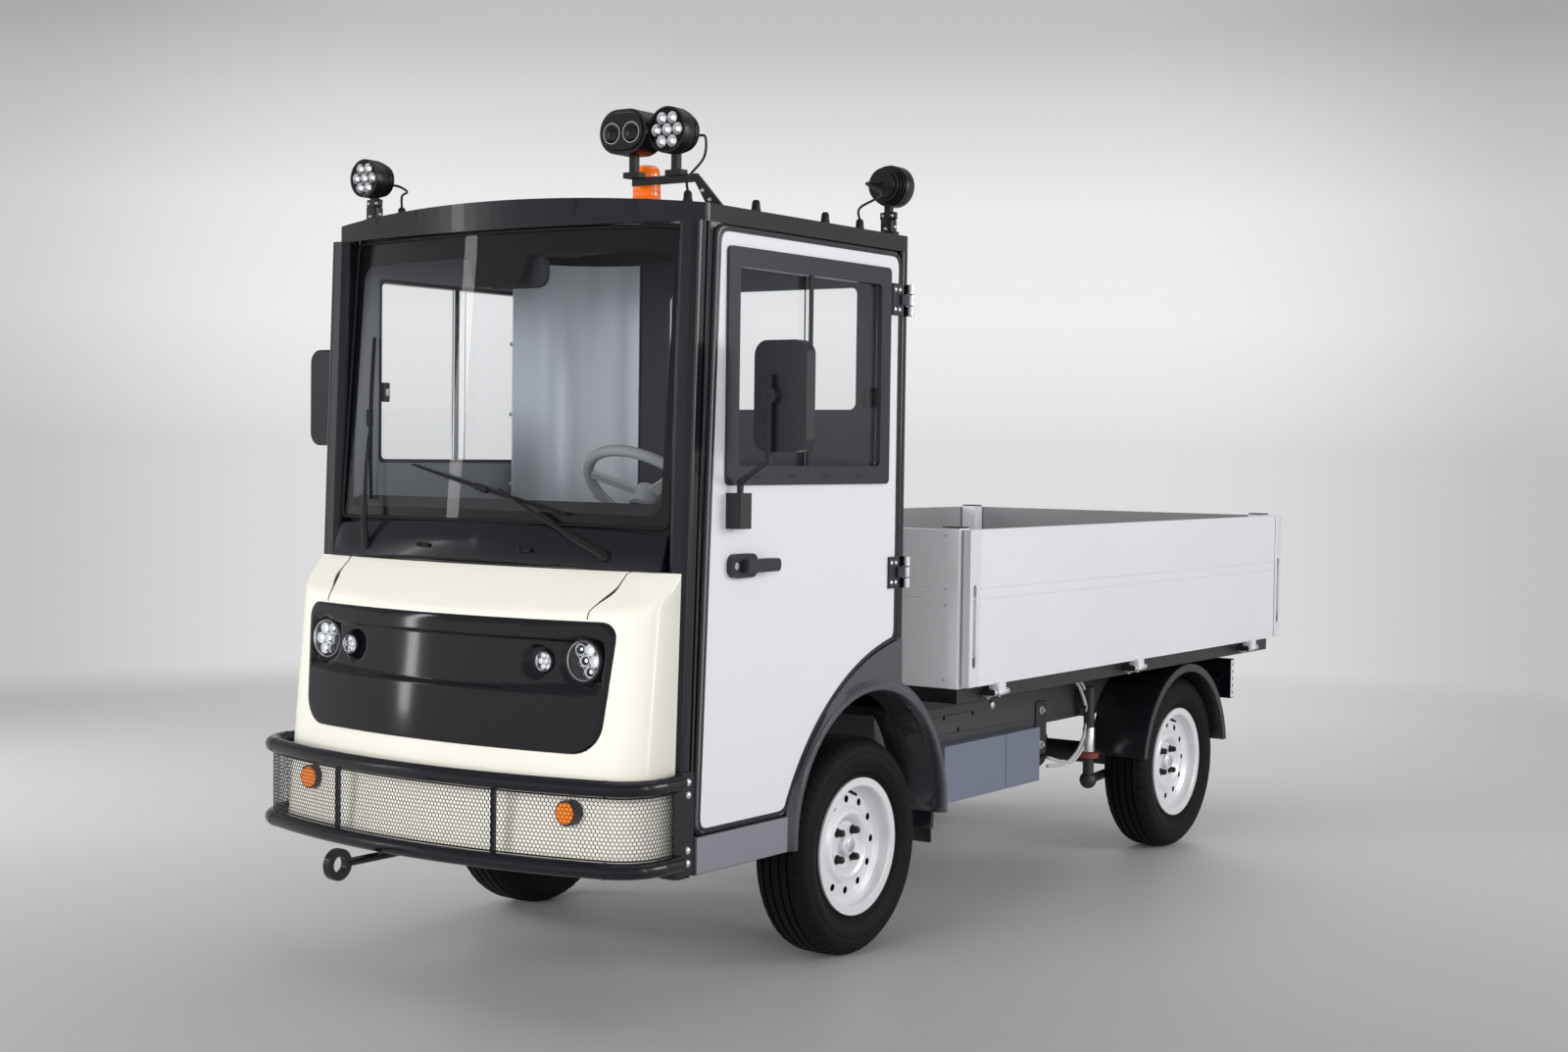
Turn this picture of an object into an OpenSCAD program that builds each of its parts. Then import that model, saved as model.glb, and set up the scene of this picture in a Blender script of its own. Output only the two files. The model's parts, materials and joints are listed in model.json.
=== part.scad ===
// Small electric platform truck: a closed two-door cab in front, an aluminium dropside bed behind.
// The truck faces -Y, its left side is +X and it stands on z = 0. Lengths are in millimetres.

/* [Layout] */
// Distance between the front and rear axles
wheelbase = 1986; // [1900:1:2100]
// Tow eye tip ahead of the front axle
front_over = 1222; // [1190:1:1300]
// Bed end behind the rear axle
rear_over = 735; // [700:1:800]
// Distance between the tyre centres across the truck
track = 1064; // [1050:1:1080]

/* [Wheels] */
// Outside diameter of the tyres
tyre_d = 578; // [560:1:590]
// Width of the tyres
tyre_w = 157; // [140:1:165]
// Diameter over the rim flange
flange_d = 362; // [350:1:374]
// Diameter of the bead seat
bead_d = 330; // [324:1:336]
// Width over the rim flanges
rim_w = 134; // [124:1:140]
// Round holes in each wheel disc
disc_holes = 12; // [8:1:16]
// Diameter of the disc holes
disc_hole_d = 20; // [14:1:24]
// Radius of the ring of disc holes
disc_hole_r = 121; // [116:1:126]
// Brake drum diameter
drum_d = 200; // [160:1:208]
// Stub axle diameter
stub_d = 32; // [26:1:38]

/* [Steering] */
// Kingpin distance inside the tyre's middle
kingpin_inset = 102; // [94:1:110]
// Kingpin diameter
kingpin_d = 24; // [20:1:28]
// Length of the steering arms
arm_len = 120; // [100:1:130]
// Tie rod diameter
tie_d = 18; // [14:1:22]
// Radial clearance of pins and shafts
run_fit = 0.05; // [0.02:0.01:0.1]
// Steering wheel diameter
steer_d = 360; // [340:1:380]
// Steering wheel tilt from level
steer_tilt = 40; // [35:1:45]
// Steering wheel centre across
steer_x = 290; // [270:1:300]

/* [Cab] */
// Width over the cab's sides
cab_w = 1220; // [1200:1:1230]
// Cab's back behind the front axle
cab_rear = 190; // [180:1:200]
// Height of the roof edge
roof_z = 1903; // [1895:1:1960]
// Rise of the roof in the middle
roof_crown = 28; // [15:1:40]
// Depth of the roof rim
roof_rim = 42; // [36:1:44]
// Roof sheet thickness
roof_t = 20; // [12:1:28]
// Height of the cab floor
floor_z = 420; // [415:1:440]
// Height of the seat deck
deck_z = 730; // [715:1:745]
// Thickness of floor and bulkheads
tub_t = 20; // [12:1:24]
// Lower edge of the sills
sill_z = 325; // [310:1:340]
// Width of a front pillar
pillar_w = 62; // [56:1:70]
// Depth of a front pillar
pillar_d = 66; // [60:1:72]
// Backward lean of the front pillars in degrees
pillar_lean = 1.9; // [1:0.1:2.4]
// Front face of the pillar foot ahead of the front axle
pillar_front = 794; // [790:1:800]
// Radius of the windscreen's bow
screen_r = 2500; // [2200:10:3000]
// Backward lean of the windscreen in degrees
screen_lean = 4.4; // [3.5:0.1:5]
// Lower edge of the windscreen
screen_z = 1140; // [1130:1:1150]
// Windscreen middle ahead of the front axle at its lower edge
screen_front = 814; // [808:1:820]
// Glass thickness
glass_t = 6; // [4:1:8]
// Rear window left edge, right edge
rear_glass_x = [-180, 465];
// Rear window lower edge, upper edge
rear_glass_z = [1440, 1770];

/* [Doors] */
// Door thickness
door_t = 30; // [26:1:34]
// Gap round the doors
door_gap = 8; // [6:1:10]
// Lower edge of the doors
door_z = 424; // [420:1:432]
// Door opening height below the roof edge
door_head = 50; // [48:1:56]
// Door's rear edge behind the front axle
door_rear = 150; // [145:1:152]
// Radius of the door's cut over the wheel
door_arch_r = 700; // [690:1:708]
// Window opening front edge, rear edge behind the front axle
pane_y = [-580, 48];
// Window opening lower edge, upper edge
pane_z = [1289, 1765];
// Width of the window frame's flange
frame_w = 46; // [40:1:50]
// Mirror head width
mirror_w = 150; // [130:1:160]
// Mirror head height
mirror_h = 262; // [240:1:280]
// Mirror head outer edge from the cab's side
mirror_reach = 220; // [210:1:240]

/* [Wings] */
// Wheel opening radius of the front wings
lip_r = 358; // [354:1:364]
// Wheel opening centre behind the front axle
lip_y = 43; // [38:1:48]
// Wheel opening centre height
lip_z = 340; // [336:1:346]
// Thickness of moulded panels
skin = 12; // [8:1:16]
// Rear mudguard's inner radius
guard_r = 308; // [302:1:312]
// Rear mudguard thickness
guard_t = 20; // [14:1:24]

/* [Nose] */
// Radius of the nose's bow
nose_r = 2000; // [1800:10:2300]
// Nose middle ahead of the front axle at its lower edge
nose_front = 1012; // [1006:1:1018]
// Lower edge of the nose
nose_z = 366; // [360:1:380]
// Height of the bonnet's front edge
nose_edge_z = 934; // [928:1:940]
// Height of the bonnet's rear edge
nose_top_z = 1038; // [1032:1:1044]
// Backward lean of the nose in degrees
nose_lean = 5.5; // [4:0.1:7]
// Slope of the bonnet from upright in degrees
bonnet_slope = 48; // [44:1:52]
// Width of the bonnet
bonnet_w = 900; // [880:1:920]
// Gap round the bonnet
bonnet_gap = 6; // [4:1:8]
// Front panel width
panel_w = 1000; // [980:1:1010]
// Front panel lower edge, upper edge
panel_z = [632, 920];
// Narrowing of the front panel towards its foot on each side
panel_taper = 34; // [26:1:40]
// Big headlamp diameter
lamp_d = 96; // [88:1:100]
// Small headlamp diameter
small_lamp_d = 48; // [44:1:54]
// Big headlamp distance from the middle
lamp_x = 426; // [420:1:430]
// Small headlamp distance from the middle
small_lamp_x = 322; // [314:1:328]
// Height of the headlamps
lamp_z = 834; // [828:1:840]
// Height of the indicators
indicator_z = 487; // [476:1:494]
// Indicator diameter
indicator_d = 60; // [54:1:64]

/* [Bumper] */
// Bumper tube diameter
tube_d = 38; // [34:1:42]
// Lower and upper tube heights
tube_z = [368, 556];
// Radius of the bumper's bow
bow_r = 1800; // [1700:10:2000]
// Radius of the bumper's corners
corner_r = 110; // [100:1:120]
// Bumper middle ahead of the front axle
bumper_front = 1062; // [1056:1:1070]
// Half width to the side tubes
bumper_x = 622; // [618:1:626]
// Tow eye hole diameter
eye_d = 40; // [34:1:44]
// Tow eye thickness
eye_t = 18; // [14:1:20]
// Tow eye height
eye_z = 336; // [330:1:338]
// Tow eye distance to the right of the middle
eye_x = 100; // [80:1:120]

/* [Chassis] */
// Gap between the rear tyres and the main rails
rail_gap = 33.5; // [28:0.5:40]
// Width of the main rails
rail_w = 60; // [50:1:70]
// Main rails' lower and upper faces
rail_z = [465, 575];
// Front rail distance from the middle
front_rail_x = 230; // [225:1:235]
// Gap between the battery box and the rear struts
battery_gap = 323; // [300:1:340]
// Battery box half width
battery_x = 455; // [440:1:470]
// Battery box lower face
battery_z = 295; // [285:1:310]

/* [Bed] */
// Width over the side boards
bed_w = 1314; // [1300:1:1330]
// Bed front behind the front axle
bed_front = 452; // [450:1:460]
// Board thickness
board_t = 25; // [20:1:26]
// Lower edge of the boards
board_z = 671; // [668:1:674]
// Top of the boards
bed_top = 1112; // [1090:1:1150]
// Bed floor thickness
bed_floor_t = 34; // [28:1:36]
// Corner post size
post_w = 57; // [50:1:62]
// Gap between moving boards and the bed
board_gap = 5; // [5:0.5:6]
// Hinge pin diameter
hinge_d = 10; // [8:1:12]
// Hinge axis height
hinge_z = 648; // [646:1:650]

/* [Hidden] */

$fn = 64;
front_y = front_over - (wheelbase + front_over + rear_over) / 2;
rear_y = front_y + wheelbase;
bed_end = rear_y + rear_over;
bed_start = front_y + bed_front;
tyre_r = tyre_d / 2;
wheel_x = track / 2;
kingpin_x = wheel_x - kingpin_inset;
rail_x = wheel_x - tyre_w / 2 - rail_gap;
cab_x = cab_w / 2;
cab_back = front_y + cab_rear;
seat_fit = 0.3;

// Extrudes an outline drawn in Y and Z from x0 to x1
module across(x0, x1) {
  translate([x0, 0, 0])
    rotate([90, 0, 90])
      linear_extrude(x1 - x0)
        children();
}

// Extrudes an outline drawn in X and Z from y0 to y1
module along(y0, y1) {
  translate([0, y1, 0])
    rotate([90, 0, 0])
      linear_extrude(y1 - y0)
        children();
}

// Extrudes an outline drawn in X and Y from z0 to z1
module upward(z0, z1) {
  translate([0, 0, z0])
    linear_extrude(z1 - z0)
      children();
}

// Tips its children back about a line across the truck at y, z
module leaning(angle, y, z) {
  translate([0, y, z])
    rotate([-angle, 0, 0])
      translate([0, -y, -z])
        children();
}

// Draws its children on both sides of the truck
module both_sides() {
  children();
  mirror([1, 0, 0])
    children();
}

// Box between two corners
module block(low, high) {
  translate(low)
    cube(high - low);
}

// Rectangle between two corners with rounded corners
module soft_rect(low, high, r) {
  translate(low + [r, r])
    offset(r)
      square(high - low - [2 * r, 2 * r]);
}

// Round bar between two points
module bar(from, to, d) {
  v = to - from;
  translate(from)
    rotate([0, acos(v.z / norm(v)), atan2(v.y, v.x)])
      cylinder(d = d, h = norm(v));
}

// Wheels

// Tyre section, radius across and width up
module tyre_section() {
  bead = bead_d / 2 + seat_fit;
  half = tyre_w / 2;
  foot = rim_w / 2 - 7;
  polygon([
    [bead, -foot + 4], [flange_d / 2 + 2, -foot], [tyre_r - 60, -half], [tyre_r - 24, -half + 4],
    [tyre_r - 7, -half + 20], [tyre_r, -half + 40], [tyre_r, half - 40], [tyre_r - 7, half - 20],
    [tyre_r - 24, half - 4], [tyre_r - 60, half], [flange_d / 2 + 2, foot], [bead, foot - 4]
  ]);
}

// Wheel section with disc, drum and bore, outboard side up
module rim_section() {
  flange = flange_d / 2;
  seat = bead_d / 2;
  inner = seat - 8;
  lip = rim_w / 2;
  bore = stub_d / 2 + run_fit;
  drum = drum_d / 2;
  polygon([
    [0, 42], [22, 42], [28, 37], [28, 24], [62, 24], [76, 36], [84, 40], [94, 38], [106, 29], [138, 26],
    [inner - 5, 36],
    [inner, 44], [inner, lip - 4], [inner + 4, lip], [flange, lip], [flange, lip - 6], [seat, lip - 6],
    [seat, 22], [seat - 6, 12], [seat - 6, -24], [seat, -34],
    [seat, -lip + 6], [flange, -lip + 6], [flange, -lip], [inner, -lip],
    [inner, -40], [inner - 8, -24], [inner - 8, 12], [inner - 8, 22], [138, 17], [drum + 4, 19],
    [drum, 12], [drum, -20], [bore, -20], [bore, 30], [0, 30]
  ]);
}

// Turns a part with its axis on Z to stand as a left wheel
module as_wheel(y) {
  translate([wheel_x, y, tyre_r])
    rotate([0, 90, 0])
      children();
}

module tyre_solid(y) {
  as_wheel(y)
    rotate_extrude($fn = 96)
      tyre_section();
}

module rim_solid(y) {
  as_wheel(y)
    difference() {
      rotate_extrude($fn = 96)
        rim_section();
      for (i = [0 : disc_holes - 1])
        rotate(i * 360 / disc_holes)
          translate([disc_hole_r, 0, 8])
            cylinder(d = disc_hole_d, h = 30);
    }
}

module tyre_front_left() { color("#1b1b1c") tyre_solid(front_y); }
module tyre_front_right() { color("#1b1b1c") mirror([1, 0, 0]) tyre_solid(front_y); }
module tyre_rear_left() { color("#1b1b1c") tyre_solid(rear_y); }
module tyre_rear_right() { color("#1b1b1c") mirror([1, 0, 0]) tyre_solid(rear_y); }
module rim_front_left() { color("#d9dadf") rim_solid(front_y); }
module rim_front_right() { color("#d9dadf") mirror([1, 0, 0]) rim_solid(front_y); }
module rim_rear_left() { color("#d9dadf") rim_solid(rear_y); }
module rim_rear_right() { color("#d9dadf") mirror([1, 0, 0]) rim_solid(rear_y); }

// Axles and steering

eye_low = tyre_r - 35;
eye_high = tyre_r + 35;
ear_gap = 5;
ear_t = 20;
ear_r = kingpin_d / 2 + 10;
stub_end = wheel_x + 29;
web_x = [kingpin_x + ear_r + 6, kingpin_x + ear_r + 22];
pin_y = front_y + arm_len;
tie_eye_z = [eye_low - ear_gap - ear_t - ear_gap - 22, eye_low - ear_gap - ear_t - ear_gap];
tie_pin_d = 14;

// Front axle beam with an eye at each end
module front_axle() {
  color("#3a3c40")
    difference() {
      union() {
        block([-kingpin_x, front_y - 20, eye_low + 7], [kingpin_x, front_y + 20, eye_high - 7]);
        both_sides()
          translate([kingpin_x, front_y, eye_low])
            cylinder(r = ear_r, h = eye_high - eye_low);
      }
      both_sides()
        translate([kingpin_x, front_y, eye_low - 1])
          cylinder(d = kingpin_d + 2 * run_fit, h = eye_high - eye_low + 2);
    }
}

// Left steering knuckle: kingpin, two ears, web, stub axle and steering arm
module knuckle_solid() {
  ear_low = eye_low - ear_gap - ear_t;
  ear_high = eye_high + ear_gap + ear_t;
  translate([kingpin_x, front_y, ear_low])
    cylinder(d = kingpin_d, h = ear_high - ear_low);
  for (z = [ear_low, eye_high + ear_gap])
    upward(z, z + ear_t)
      union() {
        translate([kingpin_x, front_y])
          circle(r = ear_r);
        translate([kingpin_x, front_y - ear_r])
          square([web_x[1] - kingpin_x, 2 * ear_r]);
      }
  block([web_x[0], front_y - ear_r, ear_low], [web_x[1], front_y + ear_r, ear_high]);
  translate([web_x[0] + 4, front_y, tyre_r])
    rotate([0, 90, 0])
      cylinder(d = stub_d, h = stub_end - web_x[0] - 4);
  upward(ear_low, ear_low + ear_t)
    translate([kingpin_x - 14, front_y])
      square([28, arm_len]);
  translate([kingpin_x, pin_y, ear_low])
    cylinder(r = 14, h = ear_t);
  translate([kingpin_x, pin_y, tie_eye_z[0]])
    cylinder(d = tie_pin_d, h = ear_low - tie_eye_z[0] + 1);
}

module knuckle_left() { color("#4a4c50") knuckle_solid(); }
module knuckle_right() { color("#4a4c50") mirror([1, 0, 0]) knuckle_solid(); }

// Tie rod between the steering arms
module tie_rod() {
  mid_z = (tie_eye_z[0] + tie_eye_z[1]) / 2;
  color("#55575b")
    difference() {
      union() {
        translate([-kingpin_x, pin_y, mid_z])
          rotate([0, 90, 0])
            cylinder(d = tie_d, h = 2 * kingpin_x);
        both_sides()
          translate([kingpin_x, pin_y, tie_eye_z[0]])
            cylinder(r = tie_pin_d / 2 + 5, h = tie_eye_z[1] - tie_eye_z[0]);
      }
      both_sides()
        translate([kingpin_x, pin_y, tie_eye_z[0] - 1])
          cylinder(d = tie_pin_d + 2 * run_fit, h = tie_eye_z[1] - tie_eye_z[0] + 2);
    }
}

axle_tube_d = 72;
motor_d = 176;

// Rear axle tube with final drive, motor and stub axles
module rear_axle() {
  color("#3a3c40") {
    translate([-wheel_x + 32, rear_y, tyre_r])
      rotate([0, 90, 0])
        cylinder(d = axle_tube_d, h = 2 * (wheel_x - 32));
    translate([-stub_end, rear_y, tyre_r])
      rotate([0, 90, 0])
        cylinder(d = stub_d, h = 2 * stub_end);
    translate([0, rear_y, tyre_r])
      rotate([0, 90, 0])
        rotate_extrude()
          polygon([[0, -74], [66, -74], [94, -44], [94, 44], [66, 74], [0, 74]]);
    translate([0, rear_y - 60, tyre_r + 8])
      rotate([90, 0, 0])
        cylinder(d = motor_d, h = 290);
  }
}

// Chassis

rail_web = 8;
front_rail_z = [eye_high + 27, floor_z - tub_t];
rail_joint_y = front_y + 350;
rail_start = rail_joint_y + 60;
rail_end = bed_end - 298;
firewall_y = front_y - pillar_front + 30;
spring_z = [eye_high - 7, front_rail_z[0]];
strut_x = rail_x + 42;
strut_y = rear_y - guard_r - guard_t - 62;
saddle_z = tyre_r - axle_tube_d / 2 - seat_fit;

module chassis_rails() {
  color("#46484d") both_sides() {
    difference() {
      block([rail_x - rail_w, rail_start, rail_z[0]], [rail_x, rail_end, rail_z[1]]);
      block([rail_x - rail_w - 1, rail_start - 1, rail_z[0] + rail_web],
            [rail_x - rail_web, rail_end + 1, rail_z[1] - rail_web]);
      for (i = [0 : 5])
        translate([rail_x - 9, rail_start + 70 + 85 * i, rail_z[0] + 34 + 42 * (i % 2)])
          rotate([0, 90, 0])
            cylinder(d = 14, h = 10);
    }
    block([front_rail_x - 30, firewall_y - 18, front_rail_z[0]],
          [front_rail_x + 30, rail_joint_y, front_rail_z[1]]);
  }
}

// Cross members, one solid each
module crossmembers() {
  span = rail_x - rail_web - seat_fit;
  color("#3f4146") {
    block([-rail_x, rail_joint_y, front_rail_z[0]], [rail_x, rail_start, rail_z[1]]);
    for (y = [rail_start + 330, rail_start + 760, rear_y + 60])
      block([-span, y, rail_z[0] + 20], [span, y + 60, rail_z[1] - 20]);
    block([-span, rail_end - 60, rail_z[0] + rail_web], [span, rail_end, rail_z[1] - rail_web]);
    block([30 - front_rail_x, firewall_y - 18, eye_z - 22],
          [front_rail_x - 30, firewall_y + 42, front_rail_z[1]]);
  }
}

// Front leaf springs, rear struts with their trailing arms
module springs() {
  color("#505258") both_sides() {
    block([front_rail_x - 25, front_y - 340, spring_z[0] + 4],
          [front_rail_x + 25, front_y + 330, spring_z[1] - 8]);
    block([front_rail_x - 25, front_y - 25, spring_z[0]], [front_rail_x + 25, front_y + 25, spring_z[0] + 5]);
    for (y = [front_y - 340, front_y + 290])
      block([front_rail_x - 25, y, spring_z[1] - 9], [front_rail_x + 25, y + 40, spring_z[1]]);
    translate([strut_x, strut_y, battery_z - 30])
      cylinder(d = 36, h = rail_z[1] - battery_z + 20);
    translate([strut_x, strut_y, battery_z + 40])
      cylinder(d = 64, h = 12);
    block([rail_x, strut_y - 24, rail_z[0] + 30], [strut_x, strut_y + 24, rail_z[1] - 20]);
    translate([strut_x, strut_y, battery_z - 36])
      sphere(d = 56);
    bar([strut_x, strut_y, battery_z - 36], [rail_x - 40, rear_y - 32, saddle_z - 10], 30);
    block([rail_x - 65, rear_y - 50, saddle_z - 22], [rail_x - 15, rear_y + 50, saddle_z]);
  }
}

module battery_box() {
  start = rail_start + 275;
  battery_l = strut_y - battery_gap - start;
  color("#8a93a6")
    difference() {
      block([-battery_x, start, battery_z], [battery_x, start + battery_l, rail_z[0]]);
      both_sides()
        translate([battery_x - 4, start + battery_l * 0.62, battery_z - 1])
          cube([10, 8, rail_z[0] - battery_z + 2]);
    }
}

// Cab

inner_face = cab_x - pillar_w - seat_fit;
tub_x = cab_x - door_t - 5 - seat_fit;
riser_y = front_y - 357;

// Footwell, wheelhouse step and seat deck with the front bulkhead, notched round the pillars
module cab_tub() {
  foot_y = front_y - pillar_front;
  color("#8b8d92")
    difference() {
      across(-tub_x, tub_x)
        polygon([
          [firewall_y, floor_z - tub_t], [riser_y, floor_z - tub_t], [riser_y, deck_z - tub_t],
          [cab_back - 32, deck_z - tub_t], [cab_back - 32, deck_z], [riser_y - tub_t, deck_z],
          [riser_y - tub_t, floor_z], [firewall_y + tub_t, floor_z], [firewall_y + tub_t, nose_top_z],
          [firewall_y, nose_top_z]
        ]);
      both_sides()
        block([inner_face, foot_y - 10, 0], [cab_x, foot_y + pillar_d + 40, screen_z]);
    }
}

pillar_foot_z = 340;
pillar_top_z = roof_z - roof_rim;

// Pillar section with a groove down its outer face
module pillar_plan(front) {
  difference() {
    soft_rect([cab_x - pillar_w, front], [cab_x, front + pillar_d], 20);
    translate([cab_x - 6, front + 0.55 * pillar_d])
      square([10, 7]);
  }
}

b_pillar_y = front_y + door_rear + door_gap;

// Front pillars from bumper to roof, rear pillars with the fixed halves of the door hinges
module cab_pillars() {
  foot_y = front_y - pillar_front;
  color("#1d1e22") both_sides() {
    intersection() {
      leaning(pillar_lean, foot_y, pillar_foot_z)
        upward(sill_z - 40, pillar_top_z + 80)
          pillar_plan(foot_y);
      block([0, foot_y - 200, sill_z], [cab_x + 10, foot_y + 400, pillar_top_z]);
    }
    upward(door_arch_z + door_arch_r - 12, pillar_top_z)
      soft_rect([cab_x - 60, b_pillar_y], [cab_x, cab_back], 10);
    for (z = door_hinge_z) {
      translate([door_hinge_x, door_hinge_y, z - hinge_h / 2])
        cylinder(d = hinge_d, h = hinge_h);
      for (low = [z - hinge_h / 2, z + 16])
        upward(low, low + hinge_h / 2 - 16)
          union() {
            translate([door_hinge_x, door_hinge_y])
              circle(r = 9);
            translate([cab_x - 1, door_hinge_y - 9])
              square([door_hinge_x - cab_x + 1, 18]);
          }
    }
  }
}

roof_front = front_y - pillar_front + 58;
roof_back = cab_back + 10;

// Roof outline, bowed at the front, shrunk by inset
module roof_plan(inset) {
  offset(delta = -inset)
    offset(24)
      offset(delta = -24)
        intersection() {
          translate([-cab_x, roof_front - 60])
            square([cab_w, roof_back - roof_front + 60]);
          translate([0, roof_front - 52 + screen_r])
            circle(r = screen_r, $fn = 360);
        }
}

// Cylinder whose top is the roof's crown, lowered by drop
module crown(drop) {
  r = (cab_x * cab_x + roof_crown * roof_crown) / (2 * roof_crown);
  translate([0, roof_front - 300, roof_z + roof_crown - r - drop])
    rotate([-90, 0, 0])
      cylinder(r = r, h = roof_back - roof_front + 600, $fn = 720);
}

module roof() {
  color("#1d1e22")
    difference() {
      intersection() {
        upward(pillar_top_z, roof_z + roof_crown + 10)
          roof_plan(0);
        crown(0);
      }
      intersection() {
        upward(pillar_top_z - 1, roof_z + roof_crown)
          roof_plan(pillar_w + 4);
        crown(roof_t);
      }
    }
}

module rear_glass_outline(grow) {
  soft_rect(
    [rear_glass_x[0] - grow, rear_glass_z[0] - grow], [rear_glass_x[1] + grow, rear_glass_z[1] + grow], 20
  );
}

module rear_wall() {
  color("#55585f")
    along(cab_back - 32, cab_back - 4)
      difference() {
        translate([60 - cab_x, deck_z - tub_t])
          square([cab_w - 120, pillar_top_z - deck_z + tub_t]);
        rear_glass_outline(seat_fit);
      }
}

module rear_window() {
  color("#aab4bc", 0.4)
    along(cab_back - 21, cab_back - 21 + glass_t)
      rear_glass_outline(0);
}

// Bowed sheet with its middle at front ahead of the front axle, drawn in plan
module bowed_plan(radius, front, thick, half) {
  intersection() {
    translate([0, front_y - front + radius])
      difference() {
        circle(r = radius, $fn = 360);
        circle(r = radius - thick, $fn = 360);
      }
    translate([-half, front_y - front - 1])
      square([2 * half, half]);
  }
}

module windscreen() {
  color("#9aa6ae", 0.4)
    intersection() {
      leaning(screen_lean, front_y - screen_front, screen_z)
        upward(screen_z + seat_fit, pillar_top_z + 40)
          bowed_plan(screen_r, screen_front, glass_t, inner_face);
      upward(screen_z - 50, pillar_top_z - seat_fit)
        translate([-cab_x, front_y - 1000])
          square([cab_w, 1000]);
    }
}

cowl_lean = 17;
cowl_h = 92;

// Black panel under the windscreen
module cowl() {
  color("#1f2024")
    intersection() {
      leaning(cowl_lean, front_y - screen_front, screen_z)
        upward(screen_z - cowl_h, screen_z)
          bowed_plan(screen_r, screen_front + 6, 30, inner_face);
      block([-cab_x, front_y - 1000, nose_top_z + seat_fit], [cab_x, front_y, screen_z + 100]);
    }
}

wiper_x = 398;
wiper_z = screen_z - 64;

// Two wiper arms with blades, the left one lying low across the glass, the right one upright
module wipers() {
  y = front_y - screen_front;
  bow = wiper_x * wiper_x / (2 * screen_r);
  color("#17181a") {
    both_sides()
      leaning(cowl_lean, y, screen_z)
        translate([wiper_x, y - 6 + bow - 2.6, wiper_z])
          rotate([90, 0, 0])
            cylinder(d = 26, h = 24);
    bar([wiper_x, y - 14, wiper_z], [90, y - 6, wiper_z + 135], 12);
    bar([260, y - 8, wiper_z + 70], [-250, y + 4, wiper_z + 212], 10);
    bar([-wiper_x, y - 14, wiper_z], [-wiper_x - 23, y + 34, wiper_z + 254], 12);
    bar([-wiper_x - 14, y + 26, wiper_z + 110], [-wiper_x - 40, y + 68, wiper_z + 560], 10);
  }
}

// Nose

// Solid nose block, shrunk by inset, with its lower face at floor
module nose_block(inset, floor) {
  foot_y = front_y - pillar_front;
  half = cab_x - 12 - inset;
  edge_y = front_y - nose_front + tan(nose_lean) * (nose_edge_z - nose_z) + inset * 1.6;
  bow = nose_r * 1.3;
  intersection() {
    leaning(nose_lean, front_y - nose_front + inset, nose_z)
      upward(nose_z - 100, nose_top_z + 60)
        nose_plan(nose_front - inset, half);
    leaning(bonnet_slope, edge_y, nose_edge_z)
      upward(nose_edge_z - 900, nose_edge_z + 700)
        translate([0, edge_y + bow])
          circle(r = bow, $fn = 360);
    leaning(pillar_lean, foot_y, pillar_foot_z)
      block([-cab_x, foot_y - 400, 0], [cab_x, foot_y - seat_fit + abs(inset), 1500]);
    block([-cab_x, front_y - 1200, floor], [cab_x, front_y, nose_top_z - inset]);
  }
}

// Bowed plan with rounded corners for the nose
module nose_plan(front, half) {
  offset(70)
    offset(delta = -70)
      intersection() {
        translate([0, front_y - front + nose_r])
          circle(r = nose_r, $fn = 360);
        translate([-half, front_y - front - 10])
          square([2 * half, 500]);
      }
}

// Outline of the front panel seen from the front, grown by grow
module panel_outline(grow) {
  hull()
    for (side = [-1, 1]) {
      translate([side * (panel_w / 2 - 44), panel_z[1] - 44])
        circle(r = 44 + grow);
      translate([side * (panel_w / 2 - panel_taper - 92), panel_z[0] + 92])
        circle(r = 92 + grow);
    }
}

// Side edge of the bonnet, widths beside heights above the front panel
bonnet_edge = [[-16, 0], [-15, 22], [-10, 42], [3, 58], [14, 68], [18, 80], [19, 300]];

// Outline of the bonnet seen from the front with its side edges in a double bend, grown by grow
module bonnet_outline(grow) {
  low = panel_z[1] + bonnet_gap;
  last = len(bonnet_edge) - 1;
  edge = [for (p = bonnet_edge) [bonnet_w / 2 + p.x + grow, low + p.y - (p.y == 0 ? grow : 0)]];
  polygon(concat(edge, [for (i = [last : -1 : 0]) [-edge[i].x, edge[i].y]]));
}

// Nose sheet between two insets, cut to an outline seen from the front
module nose_sheet(outer, inner) {
  intersection() {
    difference() {
      nose_block(outer, nose_z);
      nose_block(inner, nose_z - 10);
    }
    along(front_y - 1200, front_y - 700)
      children();
  }
}

flange_w = 14;

// Nose moulding with a flange that the bonnet rests on
module nose_shell() {
  color("#e6e1cf") {
    difference() {
      nose_block(0, nose_z);
      nose_block(skin, nose_z - 10);
      along(front_y - 1200, front_y - 700)
        panel_outline(seat_fit);
      along(front_y - 1200, front_y - 700)
        bonnet_outline(bonnet_gap);
      indicators(seat_fit);
    }
    difference() {
      nose_sheet(skin - 1, skin + 6)
        difference() {
          bonnet_outline(flange_w);
          bonnet_outline(-flange_w);
        }
      nose_sheet(-5, skin + seat_fit)
        bonnet_outline(bonnet_gap - 1);
      block([-cab_x, firewall_y - 2, 0], [cab_x, front_y, nose_top_z + 50]);
      along(front_y - 1200, front_y - 700)
        panel_outline(seat_fit);
    }
  }
}

module bonnet() {
  color("#e6e1cf")
    nose_sheet(0, skin)
      bonnet_outline(0);
}

// Round indicators behind the mesh, grown by grow
module indicators(grow) {
  both_sides()
    translate([lamp_x, front_y - 930, indicator_z])
      rotate([90, 0, 0])
        cylinder(d = indicator_d + 2 * grow, h = 44);
}

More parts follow.
